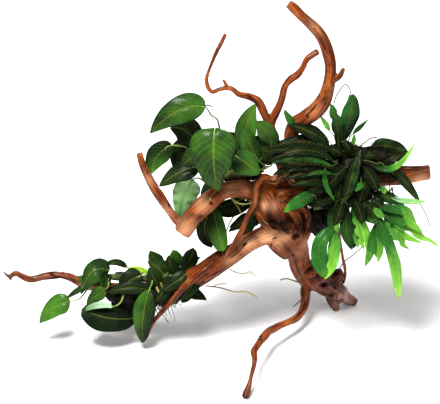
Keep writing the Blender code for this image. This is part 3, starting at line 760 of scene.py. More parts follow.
lowerExtras = {
    "spikeback": (0.10, [(-56, 44, 88)], [(-50, 46, 88), (-41, 48, 90), (-24, 50, 98)], 20, 0.14, 0.1, {}),
    "underlimb": (0.20, [(-62, 36, 72)], [(-48, 34, 62), (-32, 30, 60), (-16, 26, 52)], 17, 0.1, 0.14, {}),
    "ribbon": (0.95, [(-153, 26, 78)], [(-161, 22, 76), (-171, 18, 70), (-186, 14, 60)], 7, 0.3, 0.3, {}),
    "smallFront": (0.8, [(-133, 16, 77)], [(-138, 12, 76), (-148, 10, 68), (-159, 8, 58)], 17, 0.36, 0.3, {}),
    "yellowBud": (0.3, [(-74, 34, 71)], [(-85, 34, 84), (-97, 34, 91), (-111, 34, 92)], 7, 0.85, 0.9, {}),
    "behindArch": (0.85, [(-132, 40, 79)], [(-137, 38, 81), (-138, 36, 70), (-142, 34, 56)],
        14, 0.4, 0.44, {}),
    # a narrow strip of painted reflection along a leaf's upper part
    "paleStrip": (0.6, [(-116, 4, 67)], [(-127, 2, 58), (-144, 0, 62), (-160, 0, 55)],
        8, 0.5, 0.4, {"outline": "strap", "pale": 1.1, "veined": 0.0}),
    "tipBehind": (0.95, [(-157, 44, 69)], [(-164, 44, 72), (-170, 44, 71), (-177, 44, 71)], 8, 0.4, 0.4, {}),
    "bodyLeft": (0.2, [(-57, 24, 68)], [(-62, 20, 79), (-71, 18, 100), (-85, 18, 112)], 26, 0.2, 0.24, {}),
    "bodyMiddle": (0.15, [(-53, 26, 69)], [(-55, 24, 76), (-58, 22, 97), (-61, 24, 116)], 24, 0.14, 0.2, {}),
    "bodyRight": (0.1, [(-48, 26, 69)], [(-48, 24, 78), (-40, 24, 95), (-30, 26, 106)], 24, 0.1, 0.16, {}),
    "bodyLow": (0.3, [(-66, 22, 66)], [(-69, 18, 72), (-77, 14, 88), (-84, 14, 105)], 20, 0.18, 0.26, {}),
    "lowMiddle": (0.38, [(-74, 16, 70)], [(-81, 12, 74), (-107, 10, 80), (-134, 10, 73)], 16, 0.14, 0.16, {}),
    "underRight": (0.06, [(-38, 10, 68)], [(-36, 8, 78), (-40, 4, 72), (-46, 2, 64)], 14, 0.1, 0.1, {}),
    "coverA": (0.12, [(-46, 14, 92)], [(-40, 4, 103), (-53, -3, 96), (-69, -5, 84)], 19, 0.14, 0.2, {}),
    "coverB": (0.08, [(-36, 12, 96)], [(-28, 0, 102), (-35, -8, 90), (-46, -10, 76)], 17, 0.2, 0.1, {}),
    "coverC": (0.2, [(-58, 14, 88)], [(-58, 2, 96), (-67, -2, 82), (-77, -4, 68)], 18, 0.16, 0.12, {}),
    "coverD": (0.24, [(-64, 12, 76)], [(-70, 4, 80), (-60, 0, 76), (-50, -2, 70)], 13, 0.1, 0.16, {}),
    "coverE": (0.16, [(-54, 14, 84)], [(-56, 4, 88), (-66, -2, 76), (-70, -3, 62)], 15, 0.12, 0.08, {}),
    "rearA": (0.3, [(-82, 40, 86)], [(-80, 48, 88), (-76, 58, 88), (-72, 68, 76)],
        20, 0.36, 0.3, {"face": (0.0, 0.7, 0.7)}),
    "rearB": (0.6, [(-112, 44, 80)], [(-114, 52, 74), (-118, 62, 68), (-120, 72, 52)],
        20, 0.34, 0.4, {"face": (0.0, 0.7, 0.7)}),
    "rearC": (0.15, [(-66, 38, 86)], [(-60, 46, 84), (-52, 56, 80), (-44, 64, 66)],
        18, 0.3, 0.36, {"face": (0.2, 0.7, 0.7)}),
}
fernFronds = {
    "upright": (0.25, [(142, 34, 256)], [(141, 34, 262), (147, 32, 296), (150, 30, 325)],
        20, 0.22, 0.44, {"outline": "paddle", "side": 0.08}),
    "twintip": (0.20, [(139, 30, 250)], [(136, 28, 258), (132, 26, 291), (124, 24, 316)],
        14, 0.14, 0.5, {"lobes": 3, "lobeDepth": 0.35}),
    "backspray": (0.60, [(166, 44, 248)], [(175, 44, 252), (194, 46, 251), (217, 48, 243)],
        18, 0.28, 0.3, {}),
    "sickle": (0.50, [(157, 18, 248)], [(168, 12, 250), (196, 6, 244), (220, 4, 279)],
        7, 0.16, 0.86, {"outline": "long", "wave": 0.02}),
    "rightdrop": (0.80, [(188, 14, 240)], [(199, 8, 240), (212, 4, 226), (229, 2, 201)], 11, 0.24, 0.34, {}),
    "midrib": (0.40, [(160, 22, 258)], [(159, 14, 260), (150, -2, 238), (140, -10, 204)], 13, 0.24, 0.3, {}),
    "leftlong": (0.12, [(132, 32, 250)], [(124, 28, 261), (104, 21, 281), (79, 16, 294)], 16, 0.26, 0.2, {}),
    "leftmid": (0.05, [(124, 22, 250)], [(116, 18, 257), (88, 10, 266), (47, 4, 266)], 14, 0.26, 0.12, {}),
    "leftlow": (0.02, [(116, 13, 236)], [(108, 8, 244), (86, 0, 254), (59, -7, 258)], 14, 0.14, 0.3, {}),
}
fernExtras = {
    "bud": (0.3, [(141, 34, 257), (132, 32, 269)], [(125, 30, 279), (120, 30, 288), (114, 30, 298)],
        6, 0.6, 0.7, {}),
    "sideBud": (0.35, [(147, 32, 266)], [(151, 30, 275), (158, 28, 284), (167, 26, 295)], 5, 0.3, 0.4, {}),
    "stub": (0.33, [(149, 34, 252)], [(152, 34, 257), (153, 34, 264), (153, 34, 273)], 5, 0.6, 0.6, {}),
    "darkSpray": (0.65, [(175, 36, 238)], [(179, 34, 243), (198, 32, 243), (215, 30, 253)], 12, 0.1, 0.2, {}),
    "topLayer": (0.1, [(135, 26, 257)], [(125, 24, 262), (104, 24, 281), (76, 24, 290)], 15, 0.2, 0.28, {}),
    "spike": (0.08, [(105, 26, 275)], [(91, 26, 281), (80, 26, 294), (73, 26, 308)], 9, 0.3, 0.5, {}),
    "secondLayer": (0.1, [(132, 22, 256)], [(129, 20, 257), (96, 18, 272), (52, 18, 262)], 15, 0.2, 0.1, {}),
    "thirdLayer": (0.12, [(134, 16, 249)], [(130, 10, 250), (96, 4, 268), (54, 2, 254)], 13, 0.26, 0.12, {}),
    "fourthLayer": (0.14, [(137, 12, 243)], [(130, 8, 240), (98, 0, 252), (60, -2, 240)], 15, 0.14, 0.2, {}),
    "fifthLayer": (0.16, [(137, 10, 237)], [(132, 6, 232), (104, -2, 244), (72, -4, 234)],
        13, 0.08, 0.22, {}),
    "sixthLayer": (0.18, [(139, 8, 230)], [(132, 4, 224), (108, -4, 234), (80, -4, 226)], 14, 0.24, 0.14, {}),
    "trunkDark": (0.2, [(142, 8, 225)], [(135, 4, 217), (116, -2, 224), (90, -4, 214)], 13, 0.12, 0.24, {}),
    "roundBright": (0.42, [(160, 16, 236)], [(160, -4, 231), (158, -6, 227), (153, -6, 221)],
        8, 0.42, 0.5, {"outline": "oval"}),
    "frontDark": (0.3, [(148, 14, 244)], [(143, 8, 246), (133, 2, 236), (120, -2, 220)], 16, 0.1, 0.14, {}),
    "frontRight": (0.5, [(162, 16, 242)], [(164, 8, 243), (173, 4, 232), (180, 2, 215)], 16, 0.12, 0.18, {}),
    "rightDark": (0.7, [(181, 22, 243)], [(185, 16, 244), (196, 14, 234), (211, 14, 227)],
        14, 0.12, 0.24, {}),
    "narrowBright": (0.16, [(120, 8, 246)], [(119, -2, 247), (120, -6, 230), (131, -8, 209)],
        6, 0.42, 0.5, {}),
    "leanDark": (0.45, [(155, 16, 249)], [(152, 2, 249), (149, -2, 233), (147, -6, 212)], 15, 0.14, 0.2, {}),
    "rearA": (0.1, [(128, 44, 240)], [(120, 52, 242), (108, 64, 242), (94, 80, 228)],
        16, 0.3, 0.4, {"face": (0, 0.7, 0.7)}),
    "rearB": (0.3, [(144, 46, 242)], [(146, 54, 244), (144, 68, 244), (138, 84, 226)],
        17, 0.34, 0.46, {"face": (0, 0.7, 0.7)}),
    "rearC": (0.5, [(160, 48, 238)], [(164, 56, 238), (170, 68, 232), (176, 82, 212)],
        16, 0.3, 0.5, {"face": (0.1, 0.7, 0.7)}),
    "rearD": (0.75, [(182, 48, 232)], [(188, 54, 230), (198, 64, 220), (206, 74, 200)],
        14, 0.34, 0.5, {"face": (0.3, 0.6, 0.7)}),
    "hubDarkA": (0.3, [(146, 30, 246)], [(142, 26, 250), (132, 22, 258), (120, 20, 262)], 13, 0.12, 0.2, {}),
    "hubDarkB": (0.4, [(152, 30, 246)], [(152, 26, 250), (146, 22, 262), (140, 22, 272)], 12, 0.1, 0.22, {}),
    "hubDarkC": (0.5, [(158, 30, 244)], [(160, 26, 246), (170, 22, 252), (180, 22, 250)], 12, 0.1, 0.18, {}),
    "hubDarkD": (0.6, [(166, 30, 240)], [(170, 24, 240), (182, 20, 238), (194, 18, 232)], 13, 0.08, 0.16, {}),
    "hubDarkE": (0.35, [(146, 20, 240)], [(144, 12, 238), (138, 4, 224), (134, 0, 206)], 15, 0.12, 0.2, {}),
    "hubDarkF": (0.55, [(164, 18, 238)], [(166, 10, 234), (164, 2, 220), (158, -2, 202)], 15, 0.1, 0.16, {}),
    "hubDarkG": (0.2, [(136, 18, 240)], [(130, 10, 236), (118, 2, 226), (104, -4, 212)], 15, 0.1, 0.2, {}),
    "oliveStreak": (0.1, [(134, 8, 250)], [(126, 0, 250), (98, -6, 262), (62, -8, 260)], 6, 0.36, 0.28, {}),
    "oliveStreakB": (0.1, [(136, 4, 240)], [(130, -2, 240), (112, -8, 246), (92, -8, 240)], 5, 0.34, 0.3, {}),
    "rearE": (0.2, [(134, 50, 226)], [(132, 60, 214), (126, 72, 196), (122, 78, 172)],
        15, 0.2, 0.4, {"face": (0, 0.9, 0.4)}),
    "rearF": (0.6, [(170, 52, 224)], [(174, 62, 212), (178, 74, 192), (180, 80, 166)],
        15, 0.24, 0.46, {"face": (0, 0.9, 0.4)}),
    "footCover": (0.1, [(116, 40, 254)], [(110, 41, 264), (96, 40, 277), (82, 39, 285)], 13, 0.1, 0.16, {}),
}
fernFrondsBelow = {
    # tuftpale carries a painted reflection
    "tuftpale": (0.95, [(177, 10, 202)], [(196, 6, 206), (214, 2, 203), (235, -2, 205)],
        7, 0.5, 0.7, {"pale": 0.6}),
    "tuftlobe": (0.85, [(172, 6, 192)], [(184, 2, 186), (216, -6, 172), (252, -10, 150)],
        12, 0.46, 0.86, {"lobes": 3, "lobeDepth": 0.55}),
    "tuftmid": (0.78, [(168, 2, 190)], [(181, -6, 184), (198, -14, 171), (217, -18, 150)],
        13, 0.5, 0.66, {"lobes": 4, "lobeDepth": 0.6}),
    "longbright": (0.70, [(168, -2, 188)], [(181, -10, 186), (199, -24, 143), (208, -30, 90)],
        14, 0.34, 0.86, {"outline": "blunt"}),
    "tuftleft": (0.62, [(160, 6, 184)], [(180, -6, 180), (176, -14, 158), (168, -20, 129)],
        12, 0.3, 0.62, {}),
    "broad": (0.30, [(127, 6, 180)], [(131, 0, 168), (114, -16, 150), (122, -24, 117)],
        19, 0.38, 0.56, {"outline": "strap"}),
    "hanging": (0.42, [(146, 2, 200)], [(147, -2, 198), (145, -9, 172), (153, -12, 146)], 14, 0.22, 0.36, {}),
    "leftpoint": (0.10, [(110, 2, 204)], [(108, -5, 215), (93, -9, 211), (73, -11, 196)],
        15, 0.3, 0.56, {"outline": "oval"}),
}
fernExtrasBelow = {
    "mottled": (0.52, [(152, 8, 201)], [(153, 4, 195), (160, -6, 172), (166, -10, 145)],
        13, 0.4, 0.8, {"lobes": 4, "lobeDepth": 0.55}),
    "mottledB": (0.5, [(154, 8, 200)], [(156, 2, 192), (168, -8, 166), (172, -12, 138)], 10, 0.5, 0.84, {}),
    "mottledC": (0.5, [(150, 8, 200)], [(152, 2, 186), (156, -4, 166), (160, -8, 146)], 9, 0.34, 0.7, {}),
    "mottledLow": (0.6, [(161, 2, 185)], [(165, -4, 173), (174, -10, 156), (183, -14, 135)],
        9, 0.56, 0.78, {}),
    "tuftHub": (0.58, [(154, 6, 196)], [(156, 0, 191), (172, -6, 187), (189, -10, 182)], 14, 0.24, 0.4, {}),
    "tuftTop": (0.8, [(168, 12, 209)], [(174, 10, 208), (193, 6, 206), (211, 2, 198)], 13, 0.2, 0.4, {}),
    "tuftRight": (0.88, [(188, 6, 202)], [(198, 2, 197), (214, -4, 190), (226, -8, 168)], 13, 0.5, 0.62, {}),
    "tuftLobeB": (0.88, [(184, 4, 196)], [(190, -2, 192), (212, -8, 184), (232, -12, 170)],
        10, 0.44, 0.7, {}),
    "tuftLobeC": (0.84, [(180, 4, 194)], [(188, -4, 186), (206, -12, 170), (232, -16, 158)],
        9, 0.4, 0.78, {}),
    "tuftLobeD": (0.8, [(178, 2, 192)], [(186, -6, 190), (200, -10, 186), (214, -12, 178)],
        11, 0.34, 0.5, {}),
    "tuftLobeE": (0.8, [(176, 2, 198)], [(182, -6, 198), (196, -8, 199), (210, -8, 190)], 10, 0.3, 0.56, {}),
    "fingerLow": (0.72, [(176, -6, 188)], [(180, -12, 178), (184, -18, 156), (182, -20, 134)],
        8, 0.4, 0.74, {}),
    "tuftInner": (0.82, [(179, 4, 195)], [(183, -2, 191), (199, -8, 184), (212, -12, 168)], 11, 0.4, 0.6, {}),
    "brightRound": (0.75, [(174, 0, 198)], [(176, -8, 200), (181, -12, 195), (188, -12, 190)],
        8, 0.52, 0.6, {}),
    "behindPoint": (0.20, [(133, 8, 209)], [(131, 4, 207), (112, 0, 203), (94, -2, 205)], 12, 0.2, 0.3, {}),
    "broadRight": (0.30, [(128, 4, 182)], [(131, 0, 166), (131, -18, 142), (121, -24, 114)],
        15, 0.42, 0.86, {"outline": "long"}),
    "underDarkA": (0.7, [(168, 8, 204)], [(172, 2, 206), (182, -4, 202), (192, -6, 190)], 12, 0.1, 0.3, {}),
    "underDarkB": (0.6, [(160, 6, 202)], [(162, 0, 204), (172, -6, 198), (180, -8, 186)], 13, 0.12, 0.34, {}),
    "underDarkC": (0.5, [(154, 4, 204)], [(154, -2, 206), (160, -8, 194), (162, -10, 180)],
        13, 0.1, 0.26, {}),
    "underDarkD": (0.35, [(140, 4, 206)], [(140, -2, 206), (136, -8, 192), (130, -8, 176)],
        12, 0.1, 0.26, {}),
    "hangBack": (0.40, [(148, 14, 198)], [(152, 10, 192), (159, 6, 167), (155, 2, 140)], 15, 0.16, 0.34, {}),
    "hangLeft": (0.28, [(136, 10, 205)], [(133, 6, 197), (129, 2, 183), (128, 0, 167)], 11, 0.24, 0.4, {}),
    "yellowTip": (0.30, [(136, 8, 194)], [(137, 4, 185), (134, 2, 170), (134, 0, 151)], 8, 0.6, 0.85, {}),
    "stubUnder": (0.86, [(179, 14, 213)], [(182, 12, 216), (188, 10, 213), (195, 8, 206)], 7, 0.5, 0.7, {}),
}
rhizomes = {
    "upper_rhizome": [
        (-14, 14, 216, 3.6), (0, 19, 225, 4.3), (14, 23, 227, 4.5), (30, 28, 226, 4.3), (46, 37, 231, 3.4),
    ],
    "lower_rhizome": [
        (-60, 19, 93, 3.4), (-80, 24, 85, 4), (-105, 33, 78, 4.2), (-130, 40, 76, 3.8), (-148, 43, 74, 3),
    ],
    "fern_rhizome_upper": [
        (119, 33, 230, 4), (139, 34, 233, 4.6), (160, 36, 234, 4.6), (182, 37, 234, 4), (200, 38, 233, 3),
    ],
    "fern_rhizome_lower": [
        (108, 14, 188, 3.6), (125, 15, 191, 4.4), (142, 16, 194, 4.6), (158, 18, 197, 4.2),
        (174, 20, 200, 3.2),
    ],
}


def makeBlank():
    # the flat blade that every leaf is bent from, with its map running from base to tip
    bpy.ops.mesh.primitive_grid_add(x_subdivisions=blade["across"], y_subdivisions=blade["along"], size=1)
    blank = bpy.context.object
    blank.name = "leafBlank"
    return blank


def bendBlade(name, blank, rib, width, tonesAndShade, look):
    mesh = blank.data.copy()
    piece = bpy.data.objects.new(name, mesh)
    bpy.context.scene.collection.objects.link(piece)
    flat = readPoints(mesh, "co").astype(float)
    across, along = flat[:, 0] * 2, flat[:, 1] + 0.5
    edge = np.abs(across)
    # the outline, as half the width from base to tip
    nearBase, nearTip, lobe = outlines[look["outline"]]
    peak = nearBase / (nearBase + nearTip)
    half = (np.maximum(along, 0) / peak) ** nearBase * (np.maximum(1 - along, 0) / (1 - peak)) ** nearTip
    half = np.maximum(half, 0.02)
    half *= 1 + 0.05 * np.sin(along * 9 + look["phase"] + across * 0.8) * look["wobble"]
    if look["lobes"]:
        swing = math.tau * along * look["lobes"] + look["phase"] + np.where(across > 0, 2.2, 0)
        dent = 0.5 + 0.5 * np.cos(swing)
        half *= 1 - look["lobeDepth"] * dent**2 * np.minimum(1, along * 3)
    reach = half * across * width / 2
    # the midrib's curve, and the blade's way sideways and up along it
    base, middle, tip = (np.array(stop, float) for stop in rib)
    bend = middle * 2 - (base + tip) / 2
    share = (along - lobe * (1 - along) ** 3 * edge**1.3)[:, None]
    centre = base * (1 - share) ** 2 + bend * 2 * share * (1 - share) + tip * share**2
    ahead = 2 * (bend - base) * (1 - share) + 2 * (tip - bend) * share
    ahead /= np.linalg.norm(ahead, axis=1, keepdims=True)
    face = np.array(look["face"]) + look["lean"]
    face = face - ahead * (ahead @ face)[:, None]
    face /= np.linalg.norm(face, axis=1, keepdims=True)
    side = np.cross(face, ahead)
    roll = (look["twist"] * (along - 0.4))[:, None]
    side, face = side * np.cos(roll) + face * np.sin(roll), face * np.cos(roll) - side * np.sin(roll)
    # cup, fold, waves at the edge, veins and the sunk midrib
    rise = look["cup"] * width * edge**2 * half
    rise += look["fold"] * np.abs(reach) * 0.6
    sway = np.sin(along * look["waves"] * math.tau + look["phase"] + np.where(across > 0, 1.6, 0))
    rise += look["wave"] * width * edge**2 * sway
    vein = ((along - look["slant"] * edge**1.3) * look["veins"]) % 1
    ridge = np.sqrt(np.clip(1 - np.abs(vein * 2 - 1), 0, 1)) * (1 - edge**4) * np.minimum(1, edge * 5)
    rise += blade["quilt"] * look["quilt"] * look["relief"] * ridge * np.minimum(1, half * 2)
    rise -= blade["ribSunk"] * np.exp(-((reach / 1.2) ** 2)) * look["relief"]
    places = centre + side * reach[:, None] + face * rise[:, None]
    mesh.vertices.foreach_set("co", (places * millimetre + np.array(home)).ravel())
    # tone from base to tip, holding the leaf's own green together with painted shade; side adds painted light
    # on one half and painted shade on the other
    addAttribute(mesh, "tone", tonesAndShade[0] + (tonesAndShade[1] - tonesAndShade[0]) * along + look["side"] * across)
    # pale: a painted reflection, strongest at the base
    addAttribute(mesh, "pale", look["pale"] * (1.2 - along))
    addAttribute(mesh, "veined", np.full(len(along), look["veined"]))
    mesh.update()
    applyModifier(piece, "SOLIDIFY", thickness=blade["thickness"] * millimetre, offset=0)
    return piece


def rhizomePoint(route, share):
    place = share * (len(route) - 1)
    index = min(int(place), len(route) - 2)
    here, beyond = np.array(route[index]), np.array(route[index + 1])
    return (here + (beyond - here) * (place - index))[:3]


def growLeaf(name, leaf, route, blank, paints, kind, rng):
    share, stalk, rib, width, *tonesAndShade, shape = leaf
    phase = rng.uniform(0, 6)
    stray = blade["stray"]
    lean = np.array([rng.uniform(-stray, stray) for _ in range(3)])
    if "face" in shape:
        lean = lean * blade["strayFaced"]
    look = {**kind, **shape, "phase": phase, "lean": lean, "twist": rng.uniform(-stray, stray)}
    bladePiece = bendBlade(name, blank, rib, width, tonesAndShade, look)
    bladePiece.data.materials.append(paints[0])
    # the stalk runs on under the first part of the midrib
    base, middle = np.array(rib[0], float), np.array(rib[1], float)
    under = base + (middle - base) * blade["underRib"] + np.array(look["face"]) * -0.6
    stops = [rhizomePoint(route, share), *stalk, base, under]
    thick = kind["stalk"]
    radii = np.interp(np.arange(len(stops)), [0, len(stops) - 1], [thick, thick * blade["stalkEnd"]])
    line = smoothRoute([(*stop, radius) for stop, radius in zip(stops, radii)], blade["stalkStep"])
    stalkPiece = tubesAlong(name + "Stalk", [line], 8)
    stalkPiece.data.materials.append(paints[1])
    grown = joinPieces(name, [bladePiece, stalkPiece])
    bpy.ops.object.shade_smooth()
    return grown


def growLeaves(prefix, nodePrefix, leaves, route, blank, paints, kind, slot, seed):
    # leaves that stand for a node stay apart, and the others become one piece
    rng = random.Random(seed)
    spare = []
    for name, leaf in leaves.items():
        grown = growLeaf(prefix + name[0].upper() + name[1:], leaf, rhizomes[route], blank, paints, kind, rng)
        if nodePrefix:
            settle(grown, slot, nodePrefix + name)
        else:
            spare.append(grown)
    if spare:
        settle(joinPieces(prefix + "Leaves", spare), slot)
    print(prefix, len(leaves), "leaves")


def makeRhizomes(paint):
    rng = random.Random(11)
    for name, route in rhizomes.items():
        line = smoothRoute(route, 1.6)
        for index, stop in enumerate(line):
            stop[3] *= 1 + 0.10 * math.cos(index * math.tau / 3) + rng.uniform(-0.05, 0.05)  # leaf scars
        words = name.split("_")
        piece = tubesAlong(words[0] + "".join(word.capitalize() for word in words[1:]), [line], 14)
        piece.data.materials.append(paint)
        bpy.ops.object.shade_smooth()
        settle(piece, "rhizome", name)
    print("rhizomes made")


# brown for the heart leaf's centre; pale is a painted reflection of the bright surroundings
leafTints = {"brown": (92, 70, 28), "pale": (176, 212, 172)}
# each leaf's colours from dark to light, the darkest standing for painted shade, its veins' colour and
# strength, its gloss, and a shift of its noise
leafPaints = {
    "anubiasLeaf": {
        "stops": {
            0.0: (4, 10, 5), 0.2: (14, 34, 12), 0.45: (48, 92, 22), 0.7: (96, 156, 40), 1.0: (166, 192, 48),
        },
        "veinTint": (118, 136, 46), "veinWeight": 0.8, "gloss": 0.43, "seed": 0, "kind": broadKind,
    },
    "fernFrond": {
        "stops": {
            0.0: (2, 5, 2), 0.22: (7, 18, 7), 0.45: (30, 86, 28), 0.7: (106, 168, 52), 1.0: (168, 202, 84),
        },
        "veinTint": (80, 100, 36), "veinWeight": 0.5, "gloss": 0.26, "seed": 7, "kind": frondKind,
    },
}
# the darker and the lighter colour of everything thin
stalkPaints = {
    "leafStalk": ((58, 84, 32), (122, 148, 66)),
    "frondStalk": ((34, 40, 20), (70, 84, 38)),
    "rhizomeSkin": ((46, 52, 28), (88, 96, 50)),
    "rootFibre": ((7, 7, 4), (26, 23, 12)),
    "strayRoot": ((104, 96, 44), (160, 150, 88)),
}
# each group's name, how its nodes' names begin, its leaves, the rhizome they grow from, and their slot
leafGroups = [
    ("upperLeaf", "upper_leaf_", upperLeaves, "upper_rhizome", "broad_leaf"),
    ("upperExtra", "", upperExtras, "upper_rhizome", "broad_leaf"),
    ("lowerLeaf", "lower_leaf_", lowerLeaves, "lower_rhizome", "broad_leaf"),
    ("lowerExtra", "", lowerExtras, "lower_rhizome", "broad_leaf"),
    ("frond", "frond_", fernFronds, "fern_rhizome_upper", "fern_leaf"),
    ("frondExtra", "", fernExtras, "fern_rhizome_upper", "fern_leaf"),
    ("frondLow", "frond_low_", fernFrondsBelow, "fern_rhizome_lower", "fern_leaf"),
    ("frondLowExtra", "", fernExtrasBelow, "fern_rhizome_lower", "fern_leaf"),
]


def leafFinish(name, kind, stops, veinTint, veinWeight, gloss, seed):
    slant, veins = kind["slant"], kind["veins"]
    ramp = [(place, tint(*colour)) for place, colour in stops.items()]
    shade = {key: tint(*value) for key, value in leafTints.items()}
    shade["vein"] = tint(*veinTint)
    paint = Finish(name, coatRoughness=0.14, coatIor=1.35, ior=1.02 + gloss * 0.24)
    uv = paint.node("UVMap", {"uv_map": "UVMap"}, {})
    across = abs(paint.node("SeparateXYZ", {}, {"Vector": uv}, 0) * 2 - 1)
    along = paint.node("SeparateXYZ", {}, {"Vector": uv}, 1)
    place = paint.place()
    tone = paint.attribute("tone")
    cloud = paint.cloud(place, 45.0 + seed, 3.0)
    speck = paint.cloud(place, 320.0, 2.0)
    # side veins that leave the midrib at a slant, with finer ones between them
    rise = along - across**1.3 * slant + (paint.cloud(place, 90.0, 2.0) - 0.5) * 0.035
    vein = abs((rise * veins).math("FRACT") - 0.5).between(0.30, 0.49) * across.between(1.0, 0.75)
    fine = abs((rise * (veins * 3)).math("FRACT") - 0.5).between(0.25, 0.48) * across.between(1.0, 0.6)
    rib = across.between(0.075, 0.02)
    veined = paint.attribute("veined") * veinWeight
    # tone mixes the leaf's own green with painted shade
    shaded = tone - 0.05 + (cloud - 0.5) * 0.34 + (speck - 0.5) * 0.10
    colour = paint.node("ValToRGB", {"stops": ramp}, {"Fac": shaded})
    colour = paint.mix((vein * 0.6 + fine * 0.15) * veined * (0.3 + cloud * 1.2), colour, shade["vein"])
    colour = paint.mix(rib * (0.22 + veined * 0.3), colour, shade["vein"])
    brown = veined * across.between(0.45, 0.0) * along.between(0.25, 0.6) * cloud.between(0.3, 0.6)
    colour = paint.mix(brown * 0.8, colour, shade["brown"])
    # painted reflection: a pale sheen mixed in where the pale attribute says
    colour = paint.mix(paint.attribute("pale") * (0.4 + cloud * 0.4), colour, shade["pale"])
    paint.feed(
        baseColour=colour,
        roughness=0.62 - gloss * 0.5 + cloud * 0.2,
        coat=tone * gloss,
        normal=paint.bump(vein * -0.5 + cloud * 0.5 + speck * 0.2, 0.25, 0.0004),
    )
    return paint.material


def stalkFinish(name, dark, light):
    paint = Finish(name, coat=0.05, coatRoughness=0.3, coatIor=1.3, ior=1.12)
    patches = paint.cloud(paint.place(), 60.0, 3.0)
    colour = paint.mix(patches.between(0.35, 0.65), tint(*dark), tint(*light))
    paint.feed(baseColour=colour, roughness=0.4 + patches * 0.2)
    return paint.material


rootTangle = {
    "thickness": (0.35, 0.8),  # mm
    "matDetail": 4,
    "overMats": 70,  # short fibres over each mat
    "overLengths": (10, 24),
    "overWander": 0.35,
    "step": 5,  # mm between two stops of a fibre
    "droop": -0.06,  # how a fibre turns down from stop to stop
    "thinning": 0.6,  # the share of its thickness that it loses
    "fernHold": 150,  # fibres round the trunk
    "holdAlong": (94, 200),
    "holdCentre": (34, 214),
    "holdReach": (20, 21),
    "holdLengths": (14, 40),
    "holdWander": 0.28,
    "lowest": 0.001,  # m above the ground
}
# mats of matted roots: centre and half sizes
rootMats = {
    "fernRootMass": [((116, 27, 163), (17, 12, 20))],
    "fernHoldRoots": [
        ((128, 28, 222), (26, 22, 16)), ((160, 30, 232), (24, 18, 15)), ((132, 24, 196), (24, 16, 14)),
        ((96, 24, 236), (24, 14, 18)), ((143, 36, 248), (20, 12, 11)), ((177, 40, 243), (22, 10, 8)),
        ((160, 18, 204), (18, 10, 10)),
    ],
    "lowerRootMass": [
        ((-104, 28, 40), (28, 12, 16)), ((-66, 16, 66), (21, 14, 12)), ((-108, 24, 62), (28, 12, 14)),
    ],
    # a dark root mat behind the upper plant, put there as painted shade; its hanging fibres are roots
    "upperRoots": [((22, 37, 222), (27, 8, 11))],
}
# fibres that hang: how many, where they start in x, y and z, how their way strays in x and y as middle and
# spread, how it falls, their lengths, and how much they wander
hangingFibres = {
    "fernRootMass": (90, (98, 146), (8, 36), (166, 196), (0, 0.5), (0, 0.4), -1, (14, 42), 0.30),
    "lowerRootMass": (120, (-136, -58), (10, 40), (52, 84), (0, 0.7), (-0.2, 0.5), -0.8, (10, 36), 0.32),
    "upperRoots": (50, (-14, 44), (14, 34), (214, 230), (0, 0.6), (0, 0.6), -1, (12, 34), 0.30),
}
# single stems and roots: radius, then the stops
stems = {
    "stipule": (0.7, [(-17, 6, 322), (-13, 4, 325), (-9, 2, 324)]),
    "tendril": (0.6, [
        (128, 26, 314), (130, 26, 324), (134, 26, 332), (138, 26, 338), (140, 26, 340), (143, 26, 338),
        (146, 26, 332), (146, 26, 327), (144, 26, 324),
    ]),
    "archRoot": (0.7, [(159, 36, 255), (165, 34, 261), (171, 32, 268), (179, 30, 271)]),
    "tail": (0.6, [(228, 2, 202), (233, 2, 193), (238, 2, 183), (242, 2, 171)]),
    "thinStem": (0.6, [(165, -8, 148), (153, -10, 137), (144, -12, 130), (136, -14, 117)]),
}
threads = {
    "yellowRoot": (0.6, [(11, 10, 106), (21, 8, 102), (31, 6, 103), (35, 6, 105), (42, 4, 100)]),
    "greenHair": (0.7, [(-17, 14, 80), (0, 10, 80), (17, 6, 77), (31, 4, 78), (44, 2, 72)]),
    "greenHairB": (0.5, [(-9, 12, 80), (-1, 10, 85), (7, 8, 87)]),
    "wispA": (0.8, [(97, 66, 51), (88, 66, 55), (80, 66, 57), (73, 64, 56)]),
    "wispB": (0.8, [(99, 60, 30), (94, 62, 23), (90, 60, 20)]),
    "lowRoot": (0.6, [(-81, 18, 57), (-74, 14, 49), (-68, 12, 40), (-62, 10, 30)]),
    "lowRootB": (0.6, [(-86, 16, 50), (-76, 12, 49), (-68, 10, 48)]),
    "paleArc": (0.9, [(13, 10, 203), (21, 6, 198), (30, 4, 198), (37, 8, 198)]),
    "petioleArc": (0.9, [(14, 24, 193), (20, 20, 186), (24, 20, 178)]),
    "petioleB": (0.9, [(41, 8, 189), (44, 8, 182), (51, 6, 174), (58, 6, 167)]),
    "petioleC": (0.8, [(7, 20, 151), (12, 20, 165), (16, 22, 171)]),
    "limbRootA": (1.3, [(-75, 2, 86), (-71, 0, 79), (-66, 0, 73), (-59, 2, 70)]),
    "limbRootB": (1.1, [(-70, 2, 92), (-67, 0, 84), (-70, 0, 76), (-66, 0, 70)]),
    "limbRootC": (1.0, [(-66, 4, 80), (-60, 2, 74), (-55, 4, 71)]),
}


def rootFibre(rng, start, way, length, wander):
    # one wandering fibre as (x, y, z, radius) stops
    radius = rng.uniform(*rootTangle["thickness"])
    place = np.array(start, float)
    heading = np.array(way, float)
    heading /= np.linalg.norm(heading)
    stops = []
    count = max(4, int(length / rootTangle["step"]))
    for index in range(count):
        stops.append((*place, radius * (1 - rootTangle["thinning"] * index / count)))
        stray = np.array([rng.gauss(0, wander) for _ in range(3)])
        heading = heading + stray + np.array([0, 0, rootTangle["droop"]])
        heading /= np.linalg.norm(heading)
        place = place + heading * length / count
    return stops


